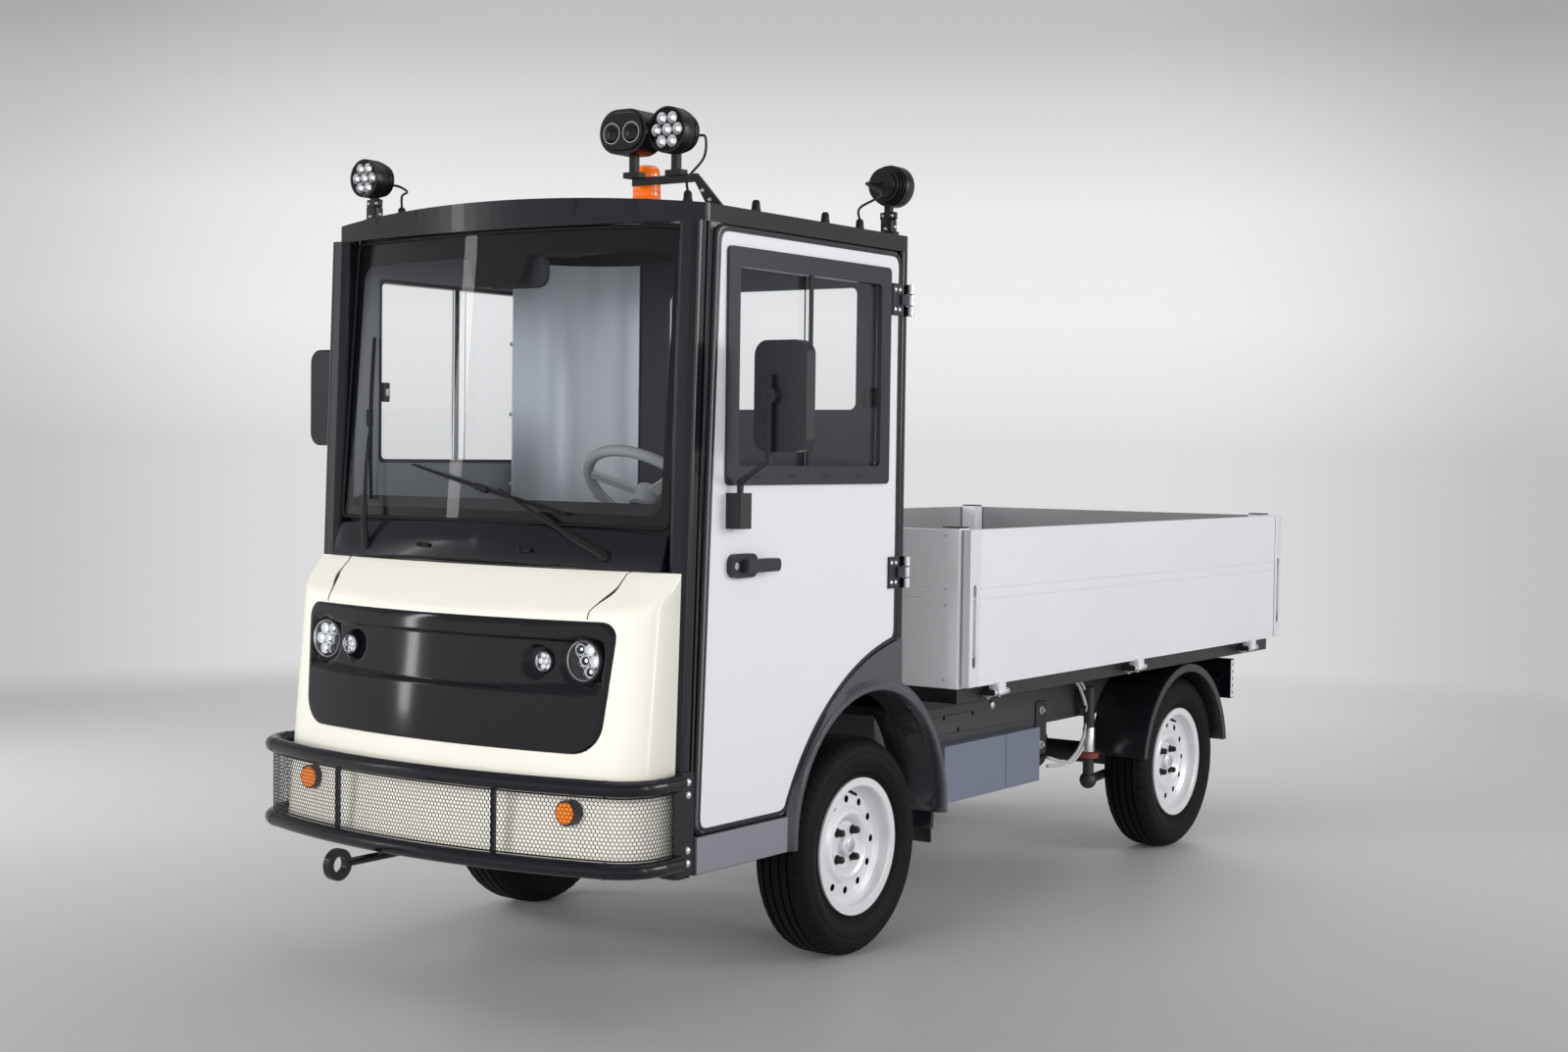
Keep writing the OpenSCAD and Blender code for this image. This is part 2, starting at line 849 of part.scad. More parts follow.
module lamp_places() {
  both_sides() {
    translate([lamp_x, front_y - 700, lamp_z])
      rotate([90, 0, 0])
        cylinder(d = lamp_d + 2 * seat_fit, h = 400);
    translate([small_lamp_x, front_y - 700, lamp_z - 6])
      rotate([90, 0, 0])
        cylinder(d = small_lamp_d + 2 * seat_fit, h = 400);
  }
}

panel_proud = 4;
channel_d = 14;
channel_z = [panel_z[0] + 138, panel_z[1] - 32];

// Gloss panel, a little proud of the nose, with a channel across it that holds the headlamps
module front_panel() {
  color("#0e0f11")
    difference() {
      intersection() {
        leaning(nose_lean, front_y - nose_front, nose_z)
          upward(nose_z, nose_top_z + 60)
            bowed_plan(nose_r, nose_front + panel_proud, skin + 2 * channel_d, panel_w / 2 + 20);
        along(front_y - 1200, front_y - 700)
          panel_outline(0);
      }
      intersection() {
        leaning(nose_lean, front_y - nose_front, nose_z)
          upward(nose_z, nose_top_z + 60)
            bowed_plan(nose_r + 60, nose_front + panel_proud - channel_d + 60, 60, panel_w / 2);
        along(front_y - 1200, front_y - 700)
          soft_rect([28 - panel_w / 2, channel_z[0]], [panel_w / 2 - 28, channel_z[1]], 40);
      }
      lamp_places();
    }
}

// Headlamps in the panel and round indicators behind the mesh
module front_lamps() {
  color("#e8ebee") both_sides() {
    translate([lamp_x, front_y - 860, lamp_z])
      rotate([90, 0, 0])
        cylinder(d = lamp_d, h = 56);
    translate([small_lamp_x, front_y - 892, lamp_z - 6])
      rotate([90, 0, 0])
        cylinder(d = small_lamp_d, h = 44);
  }
  color("#e8820c")
    indicators(0);
}

// Bumper

bow_y = front_y - bumper_front + bow_r;
bow_angle = asin((bumper_x - corner_r) / (bow_r - corner_r));
corner_y = bow_y - (bow_r - corner_r) * cos(bow_angle);
bumper_back = front_y - pillar_front - 2;

weld_gap = 2;

// Round tube along the bumper's path at height z, its stretches joined by weld beads
module bumper_tube(z) {
  arc_gap = asin(weld_gap / bow_r);
  corner_gap = asin(weld_gap / corner_r);
  corner_x = (bow_r - corner_r) * sin(bow_angle);
  translate([0, bow_y, z])
    rotate(270 - bow_angle + arc_gap)
      rotate_extrude(angle = 2 * (bow_angle - arc_gap), $fn = 360)
        translate([bow_r, 0])
          circle(d = tube_d);
  both_sides() {
    translate([corner_x, corner_y, z])
      rotate(270 + bow_angle + corner_gap)
        rotate_extrude(angle = 90 - bow_angle - 2 * corner_gap, $fn = 96)
          translate([corner_r, 0])
            circle(d = tube_d);
    bar([bumper_x, corner_y + weld_gap, z], [bumper_x, bumper_back, z], tube_d);
    for (place = [[bow_r * sin(bow_angle), bow_y - bow_r * cos(bow_angle), z], [bumper_x, corner_y, z]])
      translate(place)
        sphere(d = tube_d + 2);
  }
}

bar_x = 258;

// Two bent tubes with upright bars and bolted end plates
module bumper_frame() {
  bar_y = bow_y - sqrt(bow_r * bow_r - bar_x * bar_x);
  color("#1d1e22") {
    for (z = tube_z)
      bumper_tube(z);
    both_sides() {
      block([bar_x - 6, bar_y + 4, tube_z[0]], [bar_x + 6, bar_y + 12, tube_z[1]]);
      block([cab_x + seat_fit, bumper_back - 10, sill_z + 8], [cab_x + 6, bumper_back + 58, tube_z[1] + 20]);
    }
  }
}

// Plan of the bumper's path as a closed outline, shrunk by inset
module bumper_plan(inset) {
  offset(corner_r - inset)
    offset(delta = -corner_r)
      intersection() {
        translate([0, bow_y])
          circle(r = bow_r, $fn = 360);
        translate([-bumper_x, bow_y - bow_r - 10])
          square([2 * bumper_x, bumper_back - bow_y + bow_r + 300]);
      }
}

// Perforated sheet between the tubes
module bumper_mesh() {
  color("#2a2b30")
    upward(tube_z[0] + tube_d / 2 + 1.3, tube_z[1] - tube_d / 2 - 1.3)
      intersection() {
        difference() {
          bumper_plan(1);
          bumper_plan(3);
        }
        translate([-bumper_x - 50, bow_y - bow_r - 50])
          square([2 * bumper_x + 100, bumper_back - bow_y + bow_r + 40]);
      }
}

eye_ring_d = 2 * (eye_d / 2 + eye_t);

// Tow eye with a true bore on its long shank
module tow_eye() {
  ring_y = front_y - front_over + eye_ring_d / 2;
  color("#26272b")
    translate([-eye_x, ring_y, eye_z])
      difference() {
        union() {
          rotate([0, 90, 0])
            translate([0, 0, -eye_t / 2])
              cylinder(d = eye_ring_d, h = eye_t);
          rotate([-90, 0, 0])
            translate([0, 0, eye_d / 2 + 4])
              cylinder(d = 20, h = firewall_y - 18 - ring_y - eye_d / 2 - 4);
        }
        rotate([0, 90, 0])
          translate([0, 0, -eye_t])
            cylinder(d = eye_d, h = 2 * eye_t);
      }
}

// Wings and mudguards

door_arch_y = front_y + 283;
door_arch_z = 140;

// Side outline of the wing panel with its sill
module wing_outline() {
  difference() {
    union() {
      intersection() {
        translate([door_arch_y, door_arch_z])
          circle(r = door_arch_r - door_gap, $fn = 180);
        translate([front_y - 345, sill_z])
          square([345 + cab_rear, 700]);
      }
      intersection() {
        translate([front_y + lip_y, lip_z])
          circle(r = lip_r + 38, $fn = 180);
        translate([front_y, sill_z])
          square([600, 700]);
      }
      translate([front_y - pillar_front + pillar_d + 6, sill_z])
        square([pillar_front - pillar_d - 351 + 6, door_z - door_gap - sill_z]);
    }
    translate([front_y + lip_y, lip_z])
      circle(r = lip_r, $fn = 180);
  }
}

// Lip round the wheel opening
module lip_outline() {
  intersection() {
    difference() {
      translate([front_y + lip_y, lip_z])
        circle(r = lip_r + skin - seat_fit, $fn = 180);
      translate([front_y + lip_y, lip_z])
        circle(r = lip_r, $fn = 180);
    }
    translate([front_y - 600, sill_z])
      square([1200, 700]);
  }
}

flare = 14;

// Flared edge round the wheel opening, inside the door's cut
module arch_flare() {
  intersection() {
    translate([0, front_y + lip_y, lip_z])
      rotate([0, 90, 0])
        rotate_extrude($fn = 180)
          polygon([
            [lip_r - 2, cab_x - 24], [lip_r - 2, cab_x + flare - 5], [lip_r + 2, cab_x + flare],
            [lip_r + 15, cab_x + flare], [lip_r + 20, cab_x + flare - 5], [lip_r + 30, cab_x - 5],
            [lip_r + 30, cab_x - 24]
          ]);
    across(cab_x - 30, cab_x + 30)
      intersection() {
        translate([door_arch_y, door_arch_z])
          circle(r = door_arch_r - door_gap - 1, $fn = 180);
        translate([front_y - 600, sill_z + 2])
          square([1200, 700]);
      }
  }
}

module front_wings() {
  color("#62656d") both_sides() {
    across(tub_x + seat_fit, cab_x - 2)
      wing_outline();
    across(cab_x - 106, tub_x + seat_fit + 1)
      lip_outline();
    arch_flare();
  }
}

guard_x = [rail_x + 12, wheel_x + tyre_w / 2 + 24];

// Arch outline of radius r about the rear axle with straight skirts to z
module arch_outline(r, z) {
  intersection() {
    translate([rear_y, tyre_r])
      circle(r = r, $fn = 180);
    translate([rear_y - r - 1, tyre_r - 1])
      square([2 * r + 2, r + 2]);
  }
  translate([rear_y - r, z])
    square([2 * r, tyre_r - z]);
}

skirt_z = 335;
stay_z = rail_z[1] - 45;
flap_y = front_y + lip_y + lip_r + skin + 3;
flap_z = 235;
liner_gap = 20;

// Rear mudguards with stays to the rails, and the liners behind the front wheels
module mudguards() {
  stay_y = sqrt(pow(guard_r + guard_t / 2, 2) - pow(stay_z + 10 - tyre_r, 2));
  color("#17181a") both_sides() {
    difference() {
      across(guard_x[0], guard_x[1])
        arch_outline(guard_r + guard_t, skirt_z - 60);
      across(guard_x[0] - 1, guard_x[1] + 1)
        arch_outline(guard_r, skirt_z - 90);
      block([guard_x[0] - 1, rear_y - 2 * guard_r, 0], [guard_x[1] + 1, rear_y + 2 * guard_r, skirt_z]);
    }
    for (side = [-1, 1])
      translate([rail_x, rear_y + side * stay_y - 8, stay_z])
        cube([guard_x[0] - rail_x + 2, 16, 20]);
    intersection() {
      across(rail_x + liner_gap, tub_x)
        difference() {
          translate([front_y + lip_y, lip_z])
            circle(r = lip_r + skin + 14, $fn = 180);
          translate([front_y + lip_y, lip_z])
            circle(r = lip_r + skin, $fn = 180);
        }
      block([0, front_y + 200, sill_z - 50], [cab_x, front_y + 600, 600]);
    }
    block([rail_x + liner_gap + 10, flap_y, flap_z], [tub_x - 6, flap_y + 8, lip_z + 20]);
    difference() {
      across(guard_x[1] - 16, guard_x[1])
        arch_outline(guard_r + guard_t + 5, skirt_z - 60);
      across(guard_x[1] - 17, guard_x[1] + 1)
        arch_outline(guard_r + guard_t - 2, skirt_z - 90);
      block([guard_x[0] - 1, rear_y - 2 * guard_r, 0], [guard_x[1] + 1, rear_y + 2 * guard_r, skirt_z + 1]);
    }
  }
}

// Cab inside

dash_back = firewall_y + 190;
steer_y = front_y - 510;
steer_z = 1215;
column_d = 24;

// Dashboard over the front bulkhead, bowed like the windscreen, with the steering column
module dashboard() {
  front = firewall_y + tub_t + seat_fit;
  step_z = nose_top_z + seat_fit;
  color("#2b2d31") {
    intersection() {
      across(-inner_face, inner_face)
        offset(18)
          offset(delta = -18)
            polygon([
              [front, 860], [firewall_y + 120, 860], [dash_back, 960], [dash_back, 1120],
              [firewall_y + 90, 1196], [firewall_y - 60, 1160], [firewall_y - 60, step_z], [front, step_z]
            ]);
      upward(800, 1300)
        translate([0, front_y - screen_front - 6 + screen_r])
          circle(r = screen_r - 35, $fn = 360);
    }
    translate([steer_x, steer_y, steer_z])
      rotate([-steer_tilt, 0, 0])
        translate([0, 0, -320]) {
          cylinder(d = 64, h = 265);
          cylinder(d = column_d, h = 320);
        }
  }
}

// Steering wheel with a hub and three spokes
module steering_wheel() {
  color("#232427")
    translate([steer_x, steer_y, steer_z])
      rotate([-steer_tilt, 0, 0])
        difference() {
          union() {
            rotate_extrude($fn = 96)
              translate([steer_d / 2 - 14, 0])
                circle(r = 14);
            translate([0, 0, -44])
              cylinder(r = 34, h = 52);
            for (a = [90, 210, 330])
              rotate(a)
                block([20, -14, -9], [steer_d / 2 - 14, 14, 1]);
          }
          translate([0, 0, -50])
            cylinder(d = column_d + 2 * run_fit, h = 50.5);
        }
}

seat_x = 300;
seat_w = 460;

// Driver's seat: cushion and back rest as one closed form
module seat() {
  color("#222326")
    across(seat_x - seat_w / 2, seat_x + seat_w / 2)
      offset(30)
        offset(delta = -30)
          polygon([
            [cab_back - 520, deck_z + seat_fit], [cab_back - 66, deck_z + seat_fit], [cab_back - 36, deck_z + 160],
            [cab_back - 36, 1300], [cab_back - 110, 1300], [cab_back - 190, deck_z + 170],
            [cab_back - 520, deck_z + 160]
          ]);
}

// Doors

door_x = cab_x - door_t;
door_top = roof_z - door_head;
door_lean = pillar_lean + 0.5;

// Side outline of the door
module door_outline() {
  pillar_rise = tan(pillar_lean) * (door_z - pillar_foot_z);
  front = front_y - pillar_front + pillar_d + pillar_rise + door_gap;
  rise = door_top - door_z;
  offset(26)
    offset(delta = -26)
      difference() {
        polygon([
          [front, door_z], [front_y + door_rear, door_z], [front_y + door_rear, door_top],
          [front + tan(door_lean) * rise, door_top]
        ]);
        translate([door_arch_y, door_arch_z])
          circle(r = door_arch_r, $fn = 180);
      }
}

// Window opening outline grown by grow
module pane_outline(grow) {
  soft_rect(
    [front_y + pane_y[0] - grow, pane_z[0] - grow], [front_y + pane_y[1] + grow, pane_z[1] + grow], 14
  );
}

sleeve_t = 10;

module door_solid() {
  across(door_x, cab_x)
    difference() {
      door_outline();
      pane_outline(sleeve_t + seat_fit);
    }
}

door_hinge_y = front_y + cab_rear - 9;
door_hinge_x = cab_x + 13;
door_hinge_z = [1006, 1731];
hinge_h = 84;

// Window frame, handle and hinge leaves of the left door
module door_trim_solid() {
  difference() {
    union() {
      across(cab_x, cab_x + 8)
        pane_outline(frame_w);
      across(door_x, cab_x + 1)
        pane_outline(sleeve_t);
    }
    across(door_x - 1, cab_x + 9)
      pane_outline(0);
  }
  translate([cab_x, front_y - 559, 1050])
    rotate([0, 90, 0]) {
      linear_extrude(16)
        offset(24)
          square([10, 60], center = true);
      translate([0, 52, 16])
        linear_extrude(22)
          offset(12)
            square([8, 110], center = true);
    }
  for (z = door_hinge_z) {
    block([cab_x, front_y + door_rear - 44, z - 42], [cab_x + 6, front_y + door_rear - 1, z + 42]);
    difference() {
      union() {
        block([cab_x + 3.5, front_y + door_rear - 10, z - 14], [door_hinge_x, door_hinge_y, z + 14]);
        translate([door_hinge_x, door_hinge_y, z - 14])
          cylinder(r = 9, h = 28);
      }
      translate([door_hinge_x, door_hinge_y, z - 15])
        cylinder(d = hinge_d + 2 * run_fit, h = 30);
    }
  }
}

// Two sliding panes of the left door
module door_glass_solid() {
  mid = front_y + (pane_y[0] + pane_y[1]) / 2;
  color("#9aa6ae", 0.4) {
    across(cab_x - 20, cab_x - 16)
      intersection() {
        pane_outline(-seat_fit);
        translate([front_y - 1000, pane_z[0] - 50])
          square([mid + 20 - front_y + 1000, 1000]);
      }
    across(cab_x - 10, cab_x - 6)
      intersection() {
        pane_outline(-seat_fit);
        translate([mid - 20, pane_z[0] - 50])
          square([1000, 1000]);
      }
  }
}

mirror_y = front_y - 597;
mirror_z = 1455;

// Mirror on a bent tube with its clamp on the left door
module mirror_solid() {
  head_x = cab_x + mirror_reach - mirror_w / 2;
  arm_d = 16;
  foot = [cab_x + 26, mirror_y, 1184];
  knee = [cab_x + 26, mirror_y, 1250];
  turn = [head_x - 20, mirror_y - 26, 1300];
  top = [head_x - 20, mirror_y - 26, mirror_z + 50];
  block([cab_x, mirror_y - 22, 1140], [cab_x + 44, mirror_y + 22, 1225]);
  bar(foot, knee, arm_d);
  bar(knee, turn, arm_d);
  bar(turn, top, arm_d);
  for (bend = [knee, turn])
    translate(bend)
      sphere(d = arm_d + 2);
  translate([head_x - 20, mirror_y - 30, mirror_z])
    rotate([-90, 0, 0])
      cylinder(d = 40, h = 24);
  along(mirror_y - 10, mirror_y + 26)
    soft_rect(
      [head_x - mirror_w / 2, mirror_z - mirror_h / 2], [head_x + mirror_w / 2, mirror_z + mirror_h / 2], 36
    );
}

module door_left() { color("#eceef1") door_solid(); }
module door_right() { color("#eceef1") mirror([1, 0, 0]) door_solid(); }
module door_trim_left() { color("#2b2c30") door_trim_solid(); }
module door_trim_right() { color("#2b2c30") mirror([1, 0, 0]) door_trim_solid(); }
module door_glass_left() { door_glass_solid(); }
module door_glass_right() { mirror([1, 0, 0]) door_glass_solid(); }
module mirror_left() { color("#3a3b40") mirror_solid(); }
module mirror_right() { color("#3a3b40") mirror([1, 0, 0]) mirror_solid(); }

// Roof lamps

// Stem of a work lamp on its foot plate
module lamp_stem(height) {
  block([-24, -14, 0], [24, 14, 14]);
  block([-9, -9, 4], [9, 9, height]);
}

// Round work lamp with cooling fins, facing forward, standing at foot
module work_lamp(foot, height, d) {
  translate(foot) {
    lamp_stem(height - 0.37 * d);
    translate([0, 0, height])
      rotate([90, 0, 0])
        translate([0, 0, -36])
          rotate_extrude()
            polygon([
              [0, 0], [0.34 * d, 0], [0.34 * d, 6], [0.42 * d, 6], [0.42 * d, 10], [0.36 * d, 10], [0.36 * d, 16],
              [0.45 * d, 16], [0.45 * d, 20], [0.39 * d, 20], [0.39 * d, 26], [0.48 * d, 26], [0.48 * d, 30],
              [0.42 * d, 30], [0.42 * d, 36], [d / 2, 36], [d / 2, 76], [0.46 * d, 76], [0.46 * d, 70], [0, 70]
            ]);
  }
}

// Oval spot lamp, facing forward, standing at foot
module oval_lamp(foot, height, d) {
  translate(foot) {
    lamp_stem(height - 0.37 * d);
    for (part = [[-46, 26, 0.5], [-34, 40, 0.42], [-40, 34, 0.46]])
      along(part[0], part[1])
        translate([0, height])
          hull()
            for (x = [-18, 18])
              translate([x, 0])
                circle(d * part[2]);
  }
}

// Height of the roof's top at a place across the truck
function roof_at(x) = roof_z + roof_crown * (1 - x * x / (cab_x * cab_x));

beacon_x = 300;
beacon_y = front_y - 545;

// Lamps, lamp bracket and beacon on the roof
module roof_lamps() {
  arm_y = front_y - 607;
  foot = 6;
  color("#1b1c1f")
    difference() {
      union() {
        work_lamp([-500, front_y - 690, roof_at(500) - foot], 112 + foot, 100);
        translate([560, front_y + 165, roof_at(560) - foot])
          rotate(180)
            work_lamp([0, 0, 0], 130 + foot, 110);
        along(arm_y - 4, arm_y + 4)
          polygon([
            [590, roof_at(590) - foot], [540, roof_at(540) - foot], [500, 1968], [306, 1968], [306, 1988], [505, 1988]
          ]);
        work_lamp([440, arm_y, 1986], 106, 112);
        oval_lamp([318, arm_y - 10, 1986], 108, 108);
      }
      crown(-0.2);
    }
  color("#e8700c")
    difference() {
      translate([beacon_x, beacon_y, roof_at(beacon_x + 40) - foot])
        rotate_extrude()
          polygon([[0, 0], [39, 0], [39, 22], [35, 26], [31, 96], [23, 107], [0, 107]]);
      crown(-0.2);
    }
}

// Load bed

bed_x = bed_w / 2;
inner_x = bed_x - board_t - board_gap;
frame_end = bed_end - 42;
frame_z = rail_z[1] + 50;
bed_floor_z = board_z - board_gap;

// Bed floor with its corners cut for the posts
module bed_floor() {
  color("#a9adb4")
    upward(bed_floor_z, bed_floor_z + bed_floor_t)
      difference() {
        translate([-inner_x, bed_start + board_t])
          square([2 * inner_x, frame_end - bed_start - board_t]);
        for (x = [-inner_x - 1, inner_x - post_w])
          for (y = [bed_start, frame_end - post_w])
            translate([x, y])
              square(post_w + 1);
      }
}

side_hinge_x = bed_x + 7;
side_hinge_y = [bed_start + 180, (bed_start + bed_end - 95) / 2, bed_end - 267];
gate_hinge_y = bed_end - 10;
gate_hinge_x = [-430, 430];
knuckle_l = 40;
leaf_l = 22;

// Hinge pin with fixed leaves on each side, its axis on Y at the origin
module fixed_leaves(reach) {
  translate([0, -knuckle_l / 2 - leaf_l - 1, 0])
    rotate([-90, 0, 0])
      cylinder(d = hinge_d, h = knuckle_l + 2 * leaf_l + 2);
  for (y = [-knuckle_l / 2 - leaf_l - 1, knuckle_l / 2 + 1]) {
    block([-reach, y, -8], [0, y + leaf_l, 8]);
    translate([0, y, 0])
      rotate([-90, 0, 0])
        cylinder(r = 9, h = leaf_l);
  }
}

// Dark frame under the floor with the fixed hinge halves
module bed_frame() {
  color("#2a2c30") {
    difference() {
      block([-inner_x, bed_start, frame_z], [inner_x, frame_end, bed_floor_z]);
      for (i = [0 : 5])
        let (pitch = (frame_end - bed_start - 40) / 6)
          block([-inner_x + 36, bed_start + 40 + i * pitch, frame_z - 1],
                [inner_x - 36, bed_start + i * pitch + pitch, bed_floor_z - 6]);
    }
    both_sides()
      block([rail_x - rail_w, bed_start + 24, rail_z[1]], [rail_x, rail_end - 20, frame_z + 1]);
    both_sides()
      for (y = side_hinge_y)
        translate([side_hinge_x, y, hinge_z])
          fixed_leaves(side_hinge_x - inner_x + 1);
    for (x = gate_hinge_x)
      translate([x, gate_hinge_y, hinge_z])
        rotate(90)
          fixed_leaves(gate_hinge_y - frame_end + 1);
  }
}

// Moving hinge knuckle, its axis on Y at the origin, with an arm to the board's foot
module moving_knuckle(board_low, board_high, lift) {
  difference() {
    union() {
      rotate([-90, 0, 0])
        translate([0, 0, -knuckle_l / 2])
          cylinder(r = 9, h = knuckle_l);
      block([board_low, -knuckle_l / 2, 0], [board_high, knuckle_l / 2, lift]);
    }
    rotate([-90, 0, 0])
      translate([0, 0, -knuckle_l / 2 - 1])
        cylinder(d = hinge_d + 2 * run_fit, h = knuckle_l + 2);
  }
}

latch_z = [board_z + 53, board_z + 287];

// Left side board of two planks with end caps and latch recesses
module side_board_solid() {
  low_x = bed_x - board_t;
  groove_z = board_z + 0.62 * (bed_top - board_z);
  cap_l = 52;
  difference() {
    block([low_x, bed_start + 11, board_z], [bed_x, bed_end, bed_top]);
    block([bed_x - 3, bed_start + 11 + cap_l, groove_z - 30], [bed_x + 1, bed_end - cap_l, groove_z - 27]);
    block([bed_x - 3, bed_start + 11 + cap_l, groove_z], [bed_x + 1, bed_end - cap_l, groove_z + 3]);
    for (y = [bed_start + 11 + cap_l / 2, bed_end - cap_l / 2])
      across(bed_x - 12, bed_x + 1)
        soft_rect([y - 9, latch_z[0]], [y + 9, latch_z[1]], 8);
  }
  for (y = side_hinge_y)
    translate([side_hinge_x, y, hinge_z])
      moving_knuckle(low_x - side_hinge_x + 8, 8, board_z - hinge_z + 6);
}

module side_board_left() { color("#d5d8de") side_board_solid(); }
module side_board_right() { color("#d5d8de") mirror([1, 0, 0]) side_board_solid(); }

module tailgate() {
  low_y = bed_end - 12 - board_t;
  groove_z = board_z + 0.62 * (bed_top - board_z);
  color("#d5d8de") {
    difference() {
      block([-inner_x, low_y, board_z], [inner_x, low_y + board_t, bed_top]);
      for (z = [groove_z - 30, groove_z])
        block([-inner_x + 52, low_y + board_t - 3, z], [inner_x - 52, low_y + board_t + 1, z + 3]);
      for (x = [-inner_x + 26, inner_x - 26])
        along(low_y + board_t - 12, low_y + board_t + 1)
          soft_rect([x - 9, latch_z[0]], [x + 9, latch_z[1]], 8);
    }
    for (x = gate_hinge_x)
      translate([x, gate_hinge_y, hinge_z])
        rotate(90)
          moving_knuckle(low_y - gate_hinge_y + 8, 8, board_z - hinge_z + 6);
  }
}

module headboard() {
  color("#c3c6cd")
    difference() {
      block([-inner_x + post_w, bed_start, bed_floor_z], [inner_x - post_w, bed_start + board_t, bed_top]);
      for (z = [board_z + 0.62 * (bed_top - board_z) - 30, board_z + 0.62 * (bed_top - board_z)])
        block([-inner_x + post_w + 30, bed_start - 1, z], [inner_x - post_w - 30, bed_start + 3, z + 3]);
    }
}

// Four corner posts with flat caps
module corner_posts() {
  color("#c3c6cd") both_sides()
    for (y = [bed_start, frame_end - post_w]) {
      upward(bed_floor_z, bed_top + 1)
        translate([inner_x - post_w, y])
          square(post_w);
      upward(bed_top + seat_fit, bed_top + 4)
        translate([inner_x - post_w - 2, y])
          square([post_w + 2, post_w]);
    }
}

// Lamp board across the back under the bed with rear lamps
module tail_lamps() {
  bar_y = rail_end;
  color("#1d1e22")
    block([-600, bar_y, rail_z[0]], [600, bar_y + 30, rail_z[1] + 30]);
  color("#a01a16") both_sides()
    block([400, bar_y + 29, rail_z[0] + 15], [570, bar_y + 62, rail_z[1] + 10]);
}

// Rear towing jaw with an upright pin bore
module tow_coupling() {
  jaw_z = [rail_z[0] - 105, rail_z[0] + 8];
  pin_bore = 30;
  color("#26272b")
    difference() {
      union() {
        block([-60, rail_end - 50, jaw_z[0]], [60, rail_end - 10, jaw_z[1]]);
        for (z = [jaw_z[0], jaw_z[1] - 40])
          upward(z, z + 22)
            union() {
              translate([-45, rail_end - 30])
                square([90, 90]);
              translate([0, rail_end + 60])
                circle(d = 90);
            }
      }
      translate([0, rail_end + 60, jaw_z[0] - 1])
        cylinder(d = pin_bore, h = jaw_z[1] - jaw_z[0] + 2);
    }
}

chassis_rails();
crossmembers();
front_axle();
rear_axle();
springs();
battery_box();
knuckle_left();
knuckle_right();
tie_rod();
tyre_front_left();
tyre_front_right();
tyre_rear_left();
tyre_rear_right();
rim_front_left();
rim_front_right();
rim_rear_left();
rim_rear_right();
cab_tub();
cab_pillars();
roof();
rear_wall();
rear_window();
windscreen();
cowl();
wipers();
nose_shell();
bonnet();
front_panel();
front_lamps();
bumper_frame();
bumper_mesh();
tow_eye();
front_wings();
mudguards();
dashboard();
steering_wheel();
seat();
door_left();
door_right();
door_trim_left();
door_trim_right();
door_glass_left();
door_glass_right();
mirror_left();
mirror_right();
roof_lamps();
bed_floor();
bed_frame();
headboard();
corner_posts();
side_board_left();
side_board_right();
tailgate();
tail_lamps();
tow_coupling();
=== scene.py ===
"""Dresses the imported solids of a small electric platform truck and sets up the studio."""

from __future__ import annotations

import json
import logging
import math
from collections.abc import Callable, Iterable, Sequence
from dataclasses import dataclass, field, replace
from enum import Enum

import bpy
from mathutils import Matrix, Vector

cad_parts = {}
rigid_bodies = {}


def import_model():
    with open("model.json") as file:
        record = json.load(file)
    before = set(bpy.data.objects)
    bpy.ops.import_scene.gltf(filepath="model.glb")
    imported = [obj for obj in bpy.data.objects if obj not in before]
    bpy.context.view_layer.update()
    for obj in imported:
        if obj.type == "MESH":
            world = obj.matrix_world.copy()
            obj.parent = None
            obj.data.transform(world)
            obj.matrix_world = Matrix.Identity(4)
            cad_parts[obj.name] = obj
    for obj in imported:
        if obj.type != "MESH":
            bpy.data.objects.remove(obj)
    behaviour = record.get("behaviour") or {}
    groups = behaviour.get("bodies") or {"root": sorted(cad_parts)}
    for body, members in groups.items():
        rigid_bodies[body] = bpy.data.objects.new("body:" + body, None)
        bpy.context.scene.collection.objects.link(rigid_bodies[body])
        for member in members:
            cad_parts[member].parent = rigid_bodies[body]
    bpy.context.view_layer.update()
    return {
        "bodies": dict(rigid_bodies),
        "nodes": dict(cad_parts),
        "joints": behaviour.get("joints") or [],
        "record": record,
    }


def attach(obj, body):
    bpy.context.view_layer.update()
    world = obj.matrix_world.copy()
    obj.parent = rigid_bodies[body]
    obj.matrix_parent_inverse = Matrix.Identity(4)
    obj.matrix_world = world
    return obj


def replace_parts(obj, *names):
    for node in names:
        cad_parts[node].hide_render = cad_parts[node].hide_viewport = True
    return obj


LOG = logging.getLogger("truck")
IDENTITY = Matrix.Identity(4)
FORWARD = Vector((0.0, -1.0, 0.0))
BACKWARD = Vector((0.0, 1.0, 0.0))
UP = Vector((0.0, 0.0, 1.0))
LEFT = Vector((1.0, 0.0, 0.0))
SIDES = {"left": 1.0, "right": -1.0}
MIX_FIRST, MIX_SECOND, MIX_RESULT = 6, 7, 2

Point = Sequence[float]
Outline = list[tuple[float, float]]
Pairs = list[tuple[tuple[float, float], tuple[float, float]]]


class Texture(Enum):
    """The direction and size of the grain that a finish shows close up, in waves per metre."""

    SPRAYED = (260.0, 260.0, 260.0)
    MOULDED = (900.0, 900.0, 900.0)
    DRAWN_ALONG = (700.0, 6.0, 700.0)
    DRAWN_ACROSS = (6.0, 700.0, 700.0)
    CAST = (420.0, 420.0, 420.0)
    HIDE = (520.0, 520.0, 520.0)


